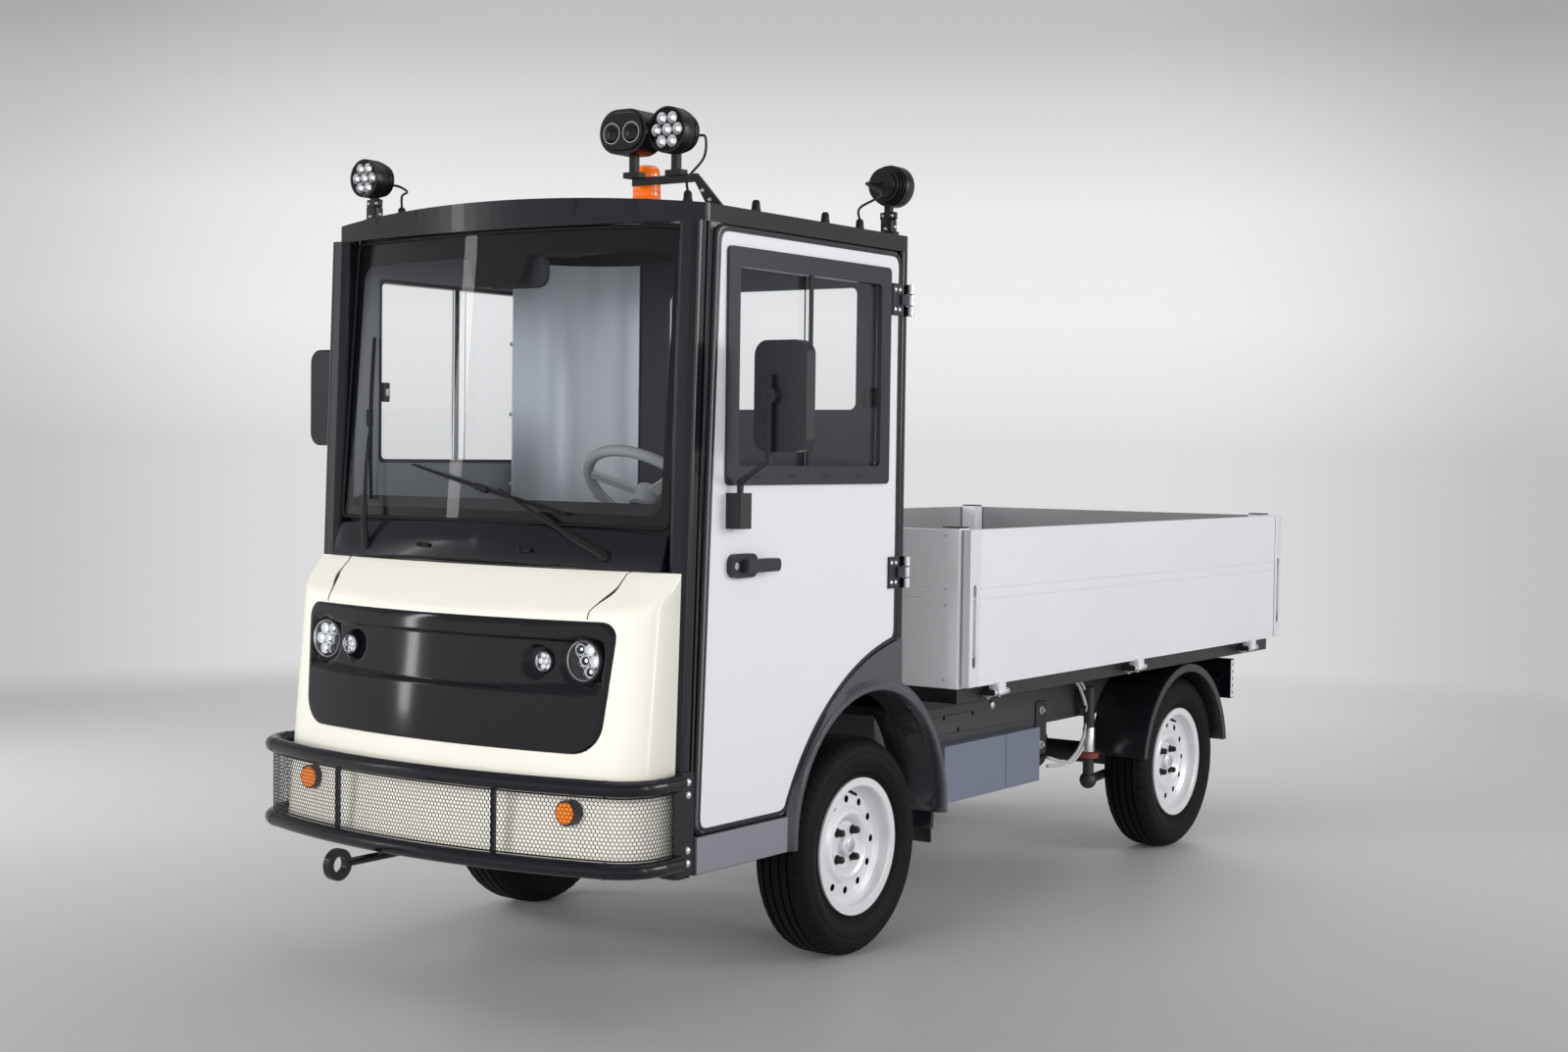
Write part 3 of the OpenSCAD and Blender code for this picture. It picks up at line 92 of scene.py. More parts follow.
@dataclass(frozen=True)
class Finish:
    """One surface finish, with the record's material slot that it stands for."""

    name: str
    slot: str
    colour: tuple[float, float, float]
    roughness: float
    texture: Texture = Texture.SPRAYED
    metallic: float = 0.0
    coat: float = 0.0
    bump: float = 0.04
    tone: float = 0.05
    spread: float = 0.06
    specular: float = 0.5
    clear: float = 0.0
    ior: float = 1.5
    glow: float = 0.0
    dust: float = 0.0
    inner: tuple[float, float, float] | None = None
    inner_limit: float = 0.0
    inner_side: tuple[float, float, float] = (1.0, 0.0, 0.0)


class Palette:
    """Every finish on the truck."""

    CREAM = Finish("cream_gelcoat", "cream_gloss", (0.69, 0.665, 0.595), 0.24, coat=0.5, bump=0.02, tone=0.03)
    PANEL = Finish(
        "black_gloss_panel", "panel_black", (0.004, 0.004, 0.006), 0.1, coat=0.25, bump=0.0, tone=0.2, specular=0.35
    )
    CAB_BLACK = Finish(
        "cab_black_paint", "cab_black", (0.0055, 0.0056, 0.0085), 0.24, coat=0.15, bump=0.008, tone=0.15, specular=0.38
    )
    DOOR = Finish(
        "door_white_paint", "door_white", (0.76, 0.755, 0.785), 0.32, coat=0.3, bump=0.015, tone=0.02,
        inner=(0.2, 0.215, 0.245), inner_limit=0.6085,
    )
    WING = Finish("wing_grey_metallic", "wing_grey", (0.075, 0.076, 0.091), 0.27, metallic=0.45, coat=0.5, tone=0.06)
    # Partly the sill's own paler grey and partly painted reflection: the wing grey lightened to stand for the lit floor
    # that the sill reflects.
    SILL_PAINTED_LIGHT = Finish("sill_grey_painted_reflection", "wing_grey", (0.26, 0.258, 0.3), 0.32, metallic=0.4, coat=0.5, tone=0.06)
    GUARD = Finish(
        "guard_black_plastic", "guard_black", (0.011, 0.0115, 0.0155), 0.25, Texture.MOULDED, bump=0.03, dust=0.04,
        specular=0.55,
    )
    FRAME = Finish("frame_dark_paint", "frame_dark", (0.04, 0.041, 0.046), 0.4, tone=0.12, dust=0.1)
    FRAME_BLACK = Finish("bed_frame_paint", "frame_dark", (0.01, 0.0105, 0.012), 0.4, tone=0.12, dust=0.06)
    AXLE = Finish("axle_cast_steel", "axle_steel", (0.045, 0.046, 0.05), 0.5, Texture.CAST, metallic=0.5, bump=0.25)
    ALLOY_ALONG = Finish(
        "anodised_along", "alloy", (0.81, 0.815, 0.85), 0.36, Texture.DRAWN_ALONG, metallic=0.32, bump=0.05, tone=0.06,
        inner=(0.37, 0.37, 0.385), inner_limit=0.636,
    )
    ALLOY_ACROSS = Finish(
        "anodised_across", "alloy", (0.77, 0.775, 0.805), 0.36, Texture.DRAWN_ACROSS, metallic=0.4, bump=0.05, tone=0.06
    )
    ALLOY_GATE = replace(
        ALLOY_ACROSS, name="anodised_gate", metallic=0.35, inner=(0.33, 0.33, 0.345), inner_limit=1.9385,
        inner_side=(0.0, 1.0, 0.0),
    )
    # Painted light: a paler, less metallic copy of the anodised finish that brightens the headboard and corner posts,
    # which stand in the cab's shadow.
    ALLOY_PAINTED_LIGHT = replace(ALLOY_ACROSS, name="anodised_painted_light", colour=(0.86, 0.865, 0.89), metallic=0.12, tone=0.05)
    ALLOY_HEAD = replace(
        ALLOY_PAINTED_LIGHT, name="anodised_head", inner=(0.37, 0.37, 0.385), inner_limit=0.2765, inner_side=(0.0, 1.0, 0.0)
    )
    RIM = Finish("rim_silver_paint", "rim_silver", (0.75, 0.755, 0.78), 0.32, metallic=0.2, coat=0.3, tone=0.04)
    TYRE = Finish(
        "tyre_rubber", "tyre", (0.0032, 0.0032, 0.0036), 0.62, Texture.MOULDED, bump=0.2, tone=0.2, dust=0.02,
        specular=0.16,
    )
    RUBBER = Finish("black_rubber", "trim_black", (0.006, 0.006, 0.0068), 0.5, Texture.MOULDED, bump=0.1, specular=0.35)
    BATTERY = Finish("battery_box_paint", "box_grey", (0.165, 0.185, 0.245), 0.4, tone=0.06, dust=0.06)
    TRIM = Finish(
        "anthracite_trim", "trim_black", (0.0165, 0.017, 0.0235), 0.38, Texture.MOULDED, bump=0.06, specular=0.4
    )
    MIRROR = Finish(
        "mirror_shell_plastic", "trim_black", (0.014, 0.0145, 0.019), 0.42, Texture.MOULDED, bump=0.12, specular=0.4
    )
    INNER = Finish("cab_inner_paint", "inner_grey", (0.6, 0.63, 0.685), 0.3, metallic=0.6, bump=0.01, tone=0.06)
    WALL = Finish("rear_wall_paint", "inner_grey", (0.02, 0.022, 0.03), 0.4, bump=0.0, tone=0.1, specular=0.3)
    DASH = Finish("dash_moulding", "trim_black", (0.012, 0.0125, 0.0145), 0.5, Texture.MOULDED, bump=0.2, specular=0.35)
    WHEEL_GRIP = Finish("steering_grip", "trim_black", (0.2, 0.205, 0.215), 0.4, Texture.MOULDED, bump=0.1)
    VINYL = Finish("seat_vinyl", "seat_vinyl", (0.014, 0.0145, 0.017), 0.46, Texture.HIDE, bump=0.14, tone=0.1)
    LAMP_BODY = Finish("lamp_housing", "lamp_body", (0.006, 0.006, 0.007), 0.36, Texture.CAST, bump=0.1, specular=0.4)
    CHROME = Finish("lamp_reflector", "lamp_clear", (0.93, 0.935, 0.95), 0.1, metallic=1.0, bump=0.01, tone=0.02)
    LED = Finish("led_emitter", "lamp_clear", (0.9, 0.91, 0.95), 0.3, glow=0.35, bump=0.0, tone=0.02)
    GLOW = Finish("cabin_lamp_strip", "lamp_clear", (1.0, 0.95, 0.86), 0.4, glow=1.6, bump=0.0, tone=0.02)
    LENS = Finish("clear_lens", "lamp_clear", (0.97, 0.975, 0.98), 0.02, clear=1.0, ior=1.15)
    AMBER = Finish("amber_lens", "lamp_clear", (0.85, 0.22, 0.008), 0.2, coat=0.7, glow=0.06, bump=0.05)
    BEACON = Finish("beacon_dome", "lamp_clear", (0.85, 0.15, 0.006), 0.2, coat=0.6, glow=0.1, bump=0.03)
    RED = Finish("red_lens", "lamp_red", (0.42, 0.012, 0.01), 0.18, coat=0.8, glow=0.03, bump=0.04)
    GLASS = Finish("window_glass", "glass", (0.955, 0.966, 0.97), 0.0, clear=1.0, ior=1.25)
    FRIT = Finish("glass_border", "cab_black", (0.003, 0.003, 0.004), 0.35, bump=0.0, tone=0.1, specular=0.15)
    SILVERED = Finish("mirror_silver", "lamp_clear", (0.9, 0.91, 0.92), 0.02, metallic=1.0, bump=0.004, tone=0.01)
    ZINC = Finish("zinc_plate", "alloy", (0.62, 0.63, 0.65), 0.34, Texture.CAST, metallic=0.8, bump=0.12, tone=0.12)
    STEEL = Finish("bright_steel", "alloy", (0.74, 0.745, 0.76), 0.24, metallic=0.9, bump=0.02)
    BURNT = Finish("strut_primer", "axle_steel", (0.2, 0.045, 0.03), 0.5, Texture.CAST, bump=0.15, tone=0.15)
    HOSE = Finish("pale_hose", "rim_silver", (0.5, 0.51, 0.53), 0.4, bump=0.03)


@dataclass
class Graph:
    """Adds nodes to a tree, each with its settings and what feeds it."""

    tree: bpy.types.NodeTree

    def feed(self, inputs: bpy.types.bpy_prop_collection, feeds: dict[str | int, object]) -> None:
        """Links a node's inputs to sockets, or sets them to plain values.

        Args:
            inputs: The node's inputs.
            feeds: A socket or a value by each input's name or number.
        """
        for key, value in feeds.items():
            if isinstance(value, bpy.types.NodeSocket):
                self.tree.links.new(value, inputs[key])
            else:
                inputs[key].default_value = value

    def add(self, kind: str, feeds: dict[str | int, object] | None = None,
            **settings: object) -> bpy.types.bpy_prop_collection:
        """Adds one node.

        Args:
            kind: The node's type without the words that all types share.
            feeds: A socket or a value by each input's name or number.
            **settings: The node's own properties.

        Returns:
            The node's outputs.
        """
        node = self.tree.nodes.new("ShaderNode" + kind)
        for name, value in settings.items():
            setattr(node, name, value)
        self.feed(node.inputs, feeds or {})
        return node.outputs

    def math(self, operation: str, *feeds: object, clamp: bool = False) -> bpy.types.NodeSocket:
        """Adds a sum on values and gives its result."""
        return self.add("Math", dict(enumerate(feeds)), operation=operation, use_clamp=clamp)[0]

    def vector(self, operation: str, *feeds: object) -> bpy.types.bpy_prop_collection:
        """Adds a sum on vectors and gives its outputs."""
        return self.add("VectorMath", dict(enumerate(feeds)), operation=operation)

    def mix(self, share: bpy.types.NodeSocket, first: object, second: object) -> bpy.types.NodeSocket:
        """Adds a mix of two colours and gives its result."""
        return self.add("Mix", {0: share, MIX_FIRST: first, MIX_SECOND: second}, data_type="RGBA")[MIX_RESULT]


class Paintbox:
    """Makes each finish once, from three shared shader groups."""

    coat_roughness: float = 0.06
    dust_reach: float = 0.75
    bump_height: float = 0.0006

    def __init__(self) -> None:
        """Builds the shared groups."""
        self.made: dict[str, bpy.types.Material] = {}
        self.grain = self._grain_group()
        self.dust = self._dust_group()
        self.sides = self._sides_group()

    @staticmethod
    def _new_group(name: str, inputs: dict[str, str], outputs: dict[str, str]) -> tuple:
        """Makes an empty group with its sockets.

        Args:
            name: The group's name.
            inputs: Socket kinds by input name.
            outputs: Socket kinds by output name.

        Returns:
            The group's graph, the sockets that come in and the sockets that go out.
        """
        group = bpy.data.node_groups.new(name, "ShaderNodeTree")
        for way, sockets in (("INPUT", inputs), ("OUTPUT", outputs)):
            for label, kind in sockets.items():
                group.interface.new_socket(name=label, in_out=way, socket_type="NodeSocket" + kind)
        start, end = group.nodes.new("NodeGroupInput"), group.nodes.new("NodeGroupOutput")
        return Graph(group), start.outputs, end.inputs

    def _grain_group(self) -> bpy.types.NodeTree:
        """Colour drift, gloss drift and fine grain over the object's own space.

        Returns:
            The group.
        """
        graph, start, end = self._new_group(
            "surface_grain",
            {"Colour": "Color", "Tone": "Float", "Roughness": "Float", "Spread": "Float", "Stretch": "Vector"},
            {"Colour": "Color", "Roughness": "Float", "Height": "Float"},
        )
        place = graph.add("TexCoord")["Object"]
        stretched = graph.vector("MULTIPLY", place, start["Stretch"])[0]
        fine = graph.add("TexNoise", {"Vector": stretched, "Scale": 1.0, "Detail": 3.0})["Fac"]
        broad = graph.add("TexNoise", {"Vector": place, "Scale": 2.6, "Detail": 4.0})["Fac"]
        centred = graph.math("SUBTRACT", graph.math("ADD", fine, broad), 1.0)
        shade = graph.math("MULTIPLY_ADD", centred, start["Tone"], 1.0)
        tint = graph.add("VectorMath", {0: start["Colour"], "Scale": shade}, operation="SCALE")[0]
        gloss = graph.math("MULTIPLY_ADD", centred, start["Spread"], start["Roughness"], clamp=True)
        graph.feed(end, {"Colour": tint, "Roughness": gloss, "Height": fine})
        return graph.tree

    def _dust_group(self) -> bpy.types.NodeTree:
        """A thin grey film that thickens towards the ground.

        Returns:
            The group.
        """
        graph, start, end = self._new_group(
            "road_film",
            {"Colour": "Color", "Roughness": "Float", "Amount": "Float", "Reach": "Float"},
            {"Colour": "Color", "Roughness": "Float"},
        )
        place = graph.add("TexCoord")["Object"]
        height = graph.add("SeparateXYZ", {0: place})["Z"]
        fall = graph.add("MapRange", {"Value": height, "From Min": 0.0, "From Max": start["Reach"], "To Min": 1.0,
                                      "To Max": 0.0})["Result"]
        patch = graph.add("TexNoise", {"Vector": place, "Scale": 14.0, "Detail": 6.0})["Fac"]
        mask = graph.math("MULTIPLY", graph.math("MULTIPLY", fall, patch), start["Amount"], clamp=True)
        film = graph.mix(mask, start["Colour"], (0.16, 0.155, 0.15, 1.0))
        rough = graph.math("MULTIPLY_ADD", mask, 0.5, start["Roughness"], clamp=True)
        graph.feed(end, {"Colour": film, "Roughness": rough})
        return graph.tree

    def _sides_group(self) -> bpy.types.NodeTree:
        """One colour outside a distance from the truck's middle and another inside it.

        Returns:
            The group.
        """
        graph, start, end = self._new_group(
            "two_sides", {"Outer": "Color", "Inner": "Color", "Limit": "Float", "Side": "Vector"}, {"Colour": "Color"}
        )
        along = graph.vector("DOT_PRODUCT", graph.add("TexCoord")["Object"], start["Side"])["Value"]
        beyond = graph.math("GREATER_THAN", graph.math("ABSOLUTE", along), start["Limit"])
        graph.feed(end, {"Colour": graph.mix(beyond, start["Inner"], start["Outer"])})
        return graph.tree

    def get(self, finish: Finish) -> bpy.types.Material:
        """Gives the material of a finish, and makes it the first time.

        Args:
            finish: The finish wanted.

        Returns:
            Its material.
        """
        if finish.name not in self.made:
            self.made[finish.name] = self._make(finish)
        return self.made[finish.name]

    def _make(self, finish: Finish) -> bpy.types.Material:
        """Builds the material of one finish.

        Args:
            finish: The finish to build.

        Returns:
            The new material.
        """
        material = bpy.data.materials.new(finish.name)
        material.use_nodes = True
        graph = Graph(material.node_tree)
        shader = material.node_tree.nodes["Principled BSDF"]
        colour = (*finish.colour, 1.0)
        graph.feed(shader.inputs, {
            "Metallic": finish.metallic, "IOR": finish.ior, "Specular IOR Level": finish.specular,
            "Coat Weight": finish.coat, "Coat Roughness": self.coat_roughness, "Transmission Weight": finish.clear,
        })
        if finish.glow:
            graph.feed(shader.inputs, {"Emission Color": colour, "Emission Strength": finish.glow})
        if finish.clear:
            graph.feed(shader.inputs, {"Base Color": colour, "Roughness": finish.roughness})
            self._let_light_through(graph, shader)
            return material
        if finish.inner:
            base = graph.add("Group", {"Outer": colour, "Inner": (*finish.inner, 1.0), "Limit": finish.inner_limit,
                                       "Side": finish.inner_side}, node_tree=self.sides)["Colour"]
        else:
            base = colour
        grain = graph.add("Group", {"Colour": base, "Tone": finish.tone, "Roughness": finish.roughness,
                                    "Spread": finish.spread, "Stretch": finish.texture.value}, node_tree=self.grain)
        last = grain
        if finish.dust:
            last = graph.add("Group", {"Colour": grain["Colour"], "Roughness": grain["Roughness"],
                                       "Amount": finish.dust, "Reach": self.dust_reach}, node_tree=self.dust)
        graph.feed(shader.inputs, {"Base Color": last["Colour"], "Roughness": last["Roughness"]})
        if finish.bump:
            bump = graph.add("Bump", {"Strength": finish.bump, "Distance": self.bump_height, "Height": grain["Height"]})
            graph.feed(shader.inputs, {"Normal": bump["Normal"]})
        return material

    @staticmethod
    def _let_light_through(graph: Graph, shader: bpy.types.Node) -> None:
        """Lets the lamps shine through a clear material instead of casting a dark shadow.

        Args:
            graph: The material's graph.
            shader: Its shader.
        """
        rays = graph.add("LightPath")["Is Shadow Ray"]
        tint = tuple(shader.inputs["Base Color"].default_value)
        open_air = graph.add("BsdfTransparent", {"Color": tint})["BSDF"]
        blend = graph.add("MixShader", {"Fac": rays, 1: shader.outputs["BSDF"], 2: open_air})["Shader"]
        graph.feed(graph.tree.nodes["Material Output"].inputs, {"Surface": blend})


def moved(x: float, y: float, z: float) -> Matrix:
    """Gives the matrix of a plain move."""
    return Matrix.Translation((x, y, z))


def facing(place: Point, toward: Point, turn: float = 0.0) -> Matrix:
    """Gives the matrix that stands a part's Z axis along a direction.

    Args:
        place: Where the part's origin goes.
        toward: The direction of its Z axis.
        turn: A turn about that axis in degrees.

    Returns:
        The matrix.
    """
    stand = Vector(toward).to_track_quat("Z", "Y").to_matrix().to_4x4()
    return Matrix.Translation(Vector(place)) @ stand @ Matrix.Rotation(math.radians(turn), 4, "Z")


def rosette(radius: float) -> Outline:
    """Gives the origin and six points round it."""
    return [(0.0, 0.0)] + [(radius * math.cos(math.tau * i / 6), radius * math.sin(math.tau * i / 6)) for i in range(6)]


def rounded_rect(width: float, height: float, radius: float, steps: int = 5) -> Outline:
    """Gives the outline of a rectangle with round corners about the origin.

    Args:
        width: Its width.
        height: Its height.
        radius: The corners' radius.
        steps: Steps round a corner.

    Returns:
        The outline.
    """
    points: Outline = []
    reach = ((width / 2 - radius, height / 2 - radius, 0), (radius - width / 2, height / 2 - radius, 90),
             (radius - width / 2, radius - height / 2, 180), (width / 2 - radius, radius - height / 2, 270))
    for x, y, start in reach:
        for i in range(steps + 1):
            angle = math.radians(start + 90 * i / steps)
            points.append((x + radius * math.cos(angle), y + radius * math.sin(angle)))
    return points


def fillet(points: Outline, radius: float, steps: int = 5, sharp: float = 20.0) -> Outline:
    """Rounds the corners of a closed outline.

    Args:
        points: The outline.
        radius: The length that each rounded corner takes from its edges.
        steps: Steps round a corner.
        sharp: The turn in degrees from which a point counts as a corner.

    Returns:
        The rounded outline.
    """
    result: Outline = []
    count = len(points)
    for i, corner in enumerate(points):
        here = Vector(corner)
        before, after = Vector(points[i - 1]) - here, Vector(points[(i + 1) % count]) - here
        if 180.0 - math.degrees(before.angle(after)) < sharp:
            result.append(corner)
            continue
        first = here + before.normalized() * min(radius, before.length / 2)
        last = here + after.normalized() * min(radius, after.length / 2)
        for k in range(steps + 1):
            t = k / steps
            result.append(tuple(first * (1 - t) ** 2 + here * 2 * t * (1 - t) + last * t * t))
    return result


def smooth_path(points: Sequence[Point], steps: int = 6) -> list[Vector]:
    """Gives a rounded path through points.

    Args:
        points: The points.
        steps: Steps between two points.

    Returns:
        The path.
    """
    path = [Vector(p) for p in points]
    ends = [path[0] * 2 - path[1], *path, path[-1] * 2 - path[-2]]
    result: list[Vector] = []
    for a, b, c, d in zip(ends, ends[1:], ends[2:], ends[3:]):
        for k in range(steps):
            t = k / steps
            bend = b * 2 + (c - a) * t + (a * 2 - b * 5 + c * 4 - d) * t**2 + (b * 3 - a - c * 3 + d) * t**3
            result.append(bend * 0.5)
    result.append(path[-1])
    return result


def ramp(value: float, width: float) -> float:
    """Rises smoothly from 0 to 1 while a value goes from 0 to a width."""
    t = min(max(value / width, 0.0), 1.0)
    return t * t * (3 - 2 * t)


def soft_max(a: float, b: float, width: float) -> float:
    """The larger of two values, rounded where they meet."""
    near = max(width - abs(a - b), 0.0) / width
    return max(a, b) + near * near * width / 4


def hull_outline(circles: Sequence[tuple[float, float, float]], count: int) -> Outline:
    """Gives evenly spaced points round the hull of circles.

    Args:
        circles: X, Y and radius of each circle.
        count: The number of points.

    Returns:
        The outline.
    """
    rim: list[Vector] = []
    for i in range(720):
        way = Vector((math.cos(math.tau * i / 720), math.sin(math.tau * i / 720)))
        x, y, r = max(circles, key=lambda c: c[0] * way.x + c[1] * way.y + c[2])
        rim.append(Vector((x, y)) + way * r)
    lengths = [(b - a).length for a, b in zip(rim, rim[1:] + rim[:1])]
    step, result, gone, i = sum(lengths) / count, [], 0.0, 0
    for k in range(count):
        while gone + lengths[i] < k * step:
            gone += lengths[i]
            i += 1
        share = (k * step - gone) / max(lengths[i], 1e-9)
        result.append(tuple(rim[i].lerp(rim[(i + 1) % 720], share)))
    return result


@dataclass
class Shape:
    """Points and faces gathered for one piece."""

    points: list[Vector] = field(default_factory=list)
    faces: list[tuple[int, ...]] = field(default_factory=list)

    def add(self, points: Iterable[Point], faces: Iterable[Sequence[int]], at: Matrix = IDENTITY) -> Shape:
        """Adds points and the faces between them, moved by a matrix.

        Args:
            points: The points.
            faces: Numbers of each face's points.
            at: Where it goes.

        Returns:
            The shape itself.
        """
        base = len(self.points)
        flip = at.determinant() < 0
        self.points.extend(at @ Vector(p) for p in points)
        for face in faces:
            numbers = tuple(base + i for i in face)
            self.faces.append(numbers[::-1] if flip else numbers)
        return self

    def join(self, other: Shape, at: Matrix = IDENTITY) -> Shape:
        """Adds another shape, moved by a matrix."""
        return self.add(other.points, other.faces, at)

    def loft(self, rings: Sequence[Sequence[Point]], at: Matrix = IDENTITY, capped: bool = True,
             wrap: bool = False) -> Shape:
        """Adds a skin over rings of equal length.

        Args:
            rings: The rings in order, each a closed loop.
            at: Where the skin goes.
            capped: Whether the first and last rings are filled.
            wrap: Whether the last ring joins the first.

        Returns:
            The shape itself.
        """
        size = len(rings[0])
        points = [p for ring in rings for p in ring]
        pairs = list(zip(range(len(rings)), range(1, len(rings))))
        if wrap:
            pairs.append((len(rings) - 1, 0))
        faces = [
            (a * size + i, a * size + (i + 1) % size, b * size + (i + 1) % size, b * size + i)
            for a, b in pairs for i in range(size)
        ]
        if capped and not wrap:
            faces.append(tuple(range(size))[::-1])
            faces.append(tuple(range((len(rings) - 1) * size, len(rings) * size)))
        return self.add(points, faces, at)

    def sheet(self, rows: Sequence[Sequence[Point]]) -> Shape:
        """Adds a sheet over rows of equal length.

        Args:
            rows: The rows of points.

        Returns:
            The shape itself.
        """
        size = len(rows[0])
        faces = [(i * size + k, i * size + k + 1, (i + 1) * size + k + 1, (i + 1) * size + k)
                 for i in range(len(rows) - 1) for k in range(size - 1)]
        return self.add([p for row in rows for p in row], faces)

    def lathe(self, profile: Outline, at: Matrix = IDENTITY, steps: int = 40, closed: bool = False) -> Shape:
        """Turns a profile of radius and height about the Z axis.

        Args:
            profile: Radius and height of each point.
            at: Where it goes.
            steps: Steps round the axis.
            closed: Whether the profile is a loop.

        Returns:
            The shape itself.
        """
        turn = [(math.cos(math.tau * i / steps), math.sin(math.tau * i / steps)) for i in range(steps)]
        rings = [[(max(r, 1e-5) * c, max(r, 1e-5) * s, h) for c, s in turn] for r, h in profile]
        return self.loft(rings, at, capped=not closed, wrap=closed)

    def pad(self, size: Point, at: Matrix = IDENTITY, radius: float = 0.004, edge: float = 0.0015) -> Shape:
        """Adds a slab standing on its middle, with round corners and softened edges.

        Args:
            size: Width, height and depth.
            at: Where it goes.
            radius: The corners' radius.
            edge: The softened edges' width.

        Returns:
            The shape itself.
        """
        width, height, depth = size
        rings = []
        for inset, z in ((edge, 0.0), (0.0, edge), (0.0, depth - edge), (edge, depth)):
            outline = rounded_rect(width - 2 * inset, height - 2 * inset, max(radius - inset, 0.0004))
            rings.append([(x, y, z) for x, y in outline])
        return self.loft(rings, at)

    def tube(self, path: Sequence[Point], radius: float | Callable[[float], float], sides: int = 10,
             closed: bool = False) -> Shape:
        """Adds a round tube along a path.

        Args:
            path: Points of the middle line.
            radius: The radius, or a function of the share of the path.
            sides: Sides of the tube.
            closed: Whether the path is a loop.

        Returns:
            The shape itself.
        """
        line = [Vector(p) for p in path]
        count = len(line)
        rings = []
        normal: Vector | None = None
        for i, here in enumerate(line):
            after = line[(i + 1) % count] if closed else line[min(i + 1, count - 1)]
            before = line[i - 1] if closed else line[max(i - 1, 0)]
            way = (after - before).normalized()
            if normal is None:
                normal = way.orthogonal().normalized()
            normal = (normal - way * normal.dot(way)).normalized()
            side = way.cross(normal)
            r = radius(i / max(count - 1, 1)) if callable(radius) else radius
            angles = [math.tau * k / sides for k in range(sides)]
            rings.append([here + normal * (r * math.cos(a)) + side * (r * math.sin(a)) for a in angles])
        return self.loft(rings, capped=not closed, wrap=closed)

    def hex_bolt(self, at: Matrix, size: float = 0.013, height: float = 0.007) -> Shape:
        """Adds a hexagon head on a washer.

        Args:
            at: Where it goes.
            size: Width across the flats.
            height: Height with the washer.

        Returns:
            The shape itself.
        """
        self.lathe([(0, 0), (size * 0.85, 0), (size * 0.85, 0.0012), (size * 0.8, 0.0018), (0, 0.0018)], at, 20)
        self.lathe([(0, 0.0018), (size / 2, 0.0018), (size / 2, height - 0.001), (size * 0.43, height), (0, height)],
                   at, 6)
        return self

    def dome_bolt(self, at: Matrix, size: float = 0.016, height: float = 0.006) -> Shape:
        """Adds a round-headed bolt or rivet.

        Args:
            at: Where it goes.
            size: The head's diameter.
            height: The head's height.

        Returns:
            The shape itself.
        """
        r = size / 2
        profile = [(r, 0.0), (r, height * 0.25), (r * 0.86, height * 0.62), (r * 0.55, height * 0.9), (0.0, height)]
        return self.lathe([(0.0, 0.0), *profile], at, 18)


@dataclass(frozen=True)
class Layout:
    """Places of the truck's main lines in metres, as the solids have them."""

    front_y: float = -0.7495
    rear_y: float = 1.2365
    bed_start: float = -0.2975
    bed_end: float = 1.9715
    tyre_r: float = 0.289
    wheel_x: float = 0.532
    cab_x: float = 0.610
    screen_r: float = 2.5
    screen_lean: float = 4.4
    screen_z: float = 1.140
    roof_z: float = 1.903
    roof_crown: float = 0.028

    @property
    def screen_y(self) -> float:
        """The windscreen's middle at its lower edge."""
        return self.front_y - 0.814

    @property
    def foot_y(self) -> float:
        """The front face of the pillars' feet."""
        return self.front_y - 0.794

    @property
    def cab_back(self) -> float:
        """The back of the cab."""
        return self.front_y + 0.190

    def roof_at(self, x: float) -> float:
        """The roof's top at a place across the truck."""
        return self.roof_z + self.roof_crown * (1 - (x / self.cab_x) ** 2)

    def on_screen(self, x: float, z: float, out: float = 0.0) -> Vector:
        """A point on the windscreen's outer face.

        Args:
            x: The place across the truck.
            z: The height along the glass, as if it stood upright.
            out: The distance in front of the face.

        Returns:
            The point.
        """
        lean = math.radians(self.screen_lean)
        y = self.screen_r - math.sqrt(self.screen_r**2 - x * x) - out
        up = z - self.screen_z
        return Vector((x, self.screen_y + y * math.cos(lean) + up * math.sin(lean),
                       self.screen_z - y * math.sin(lean) + up * math.cos(lean)))


LAYOUT = Layout()


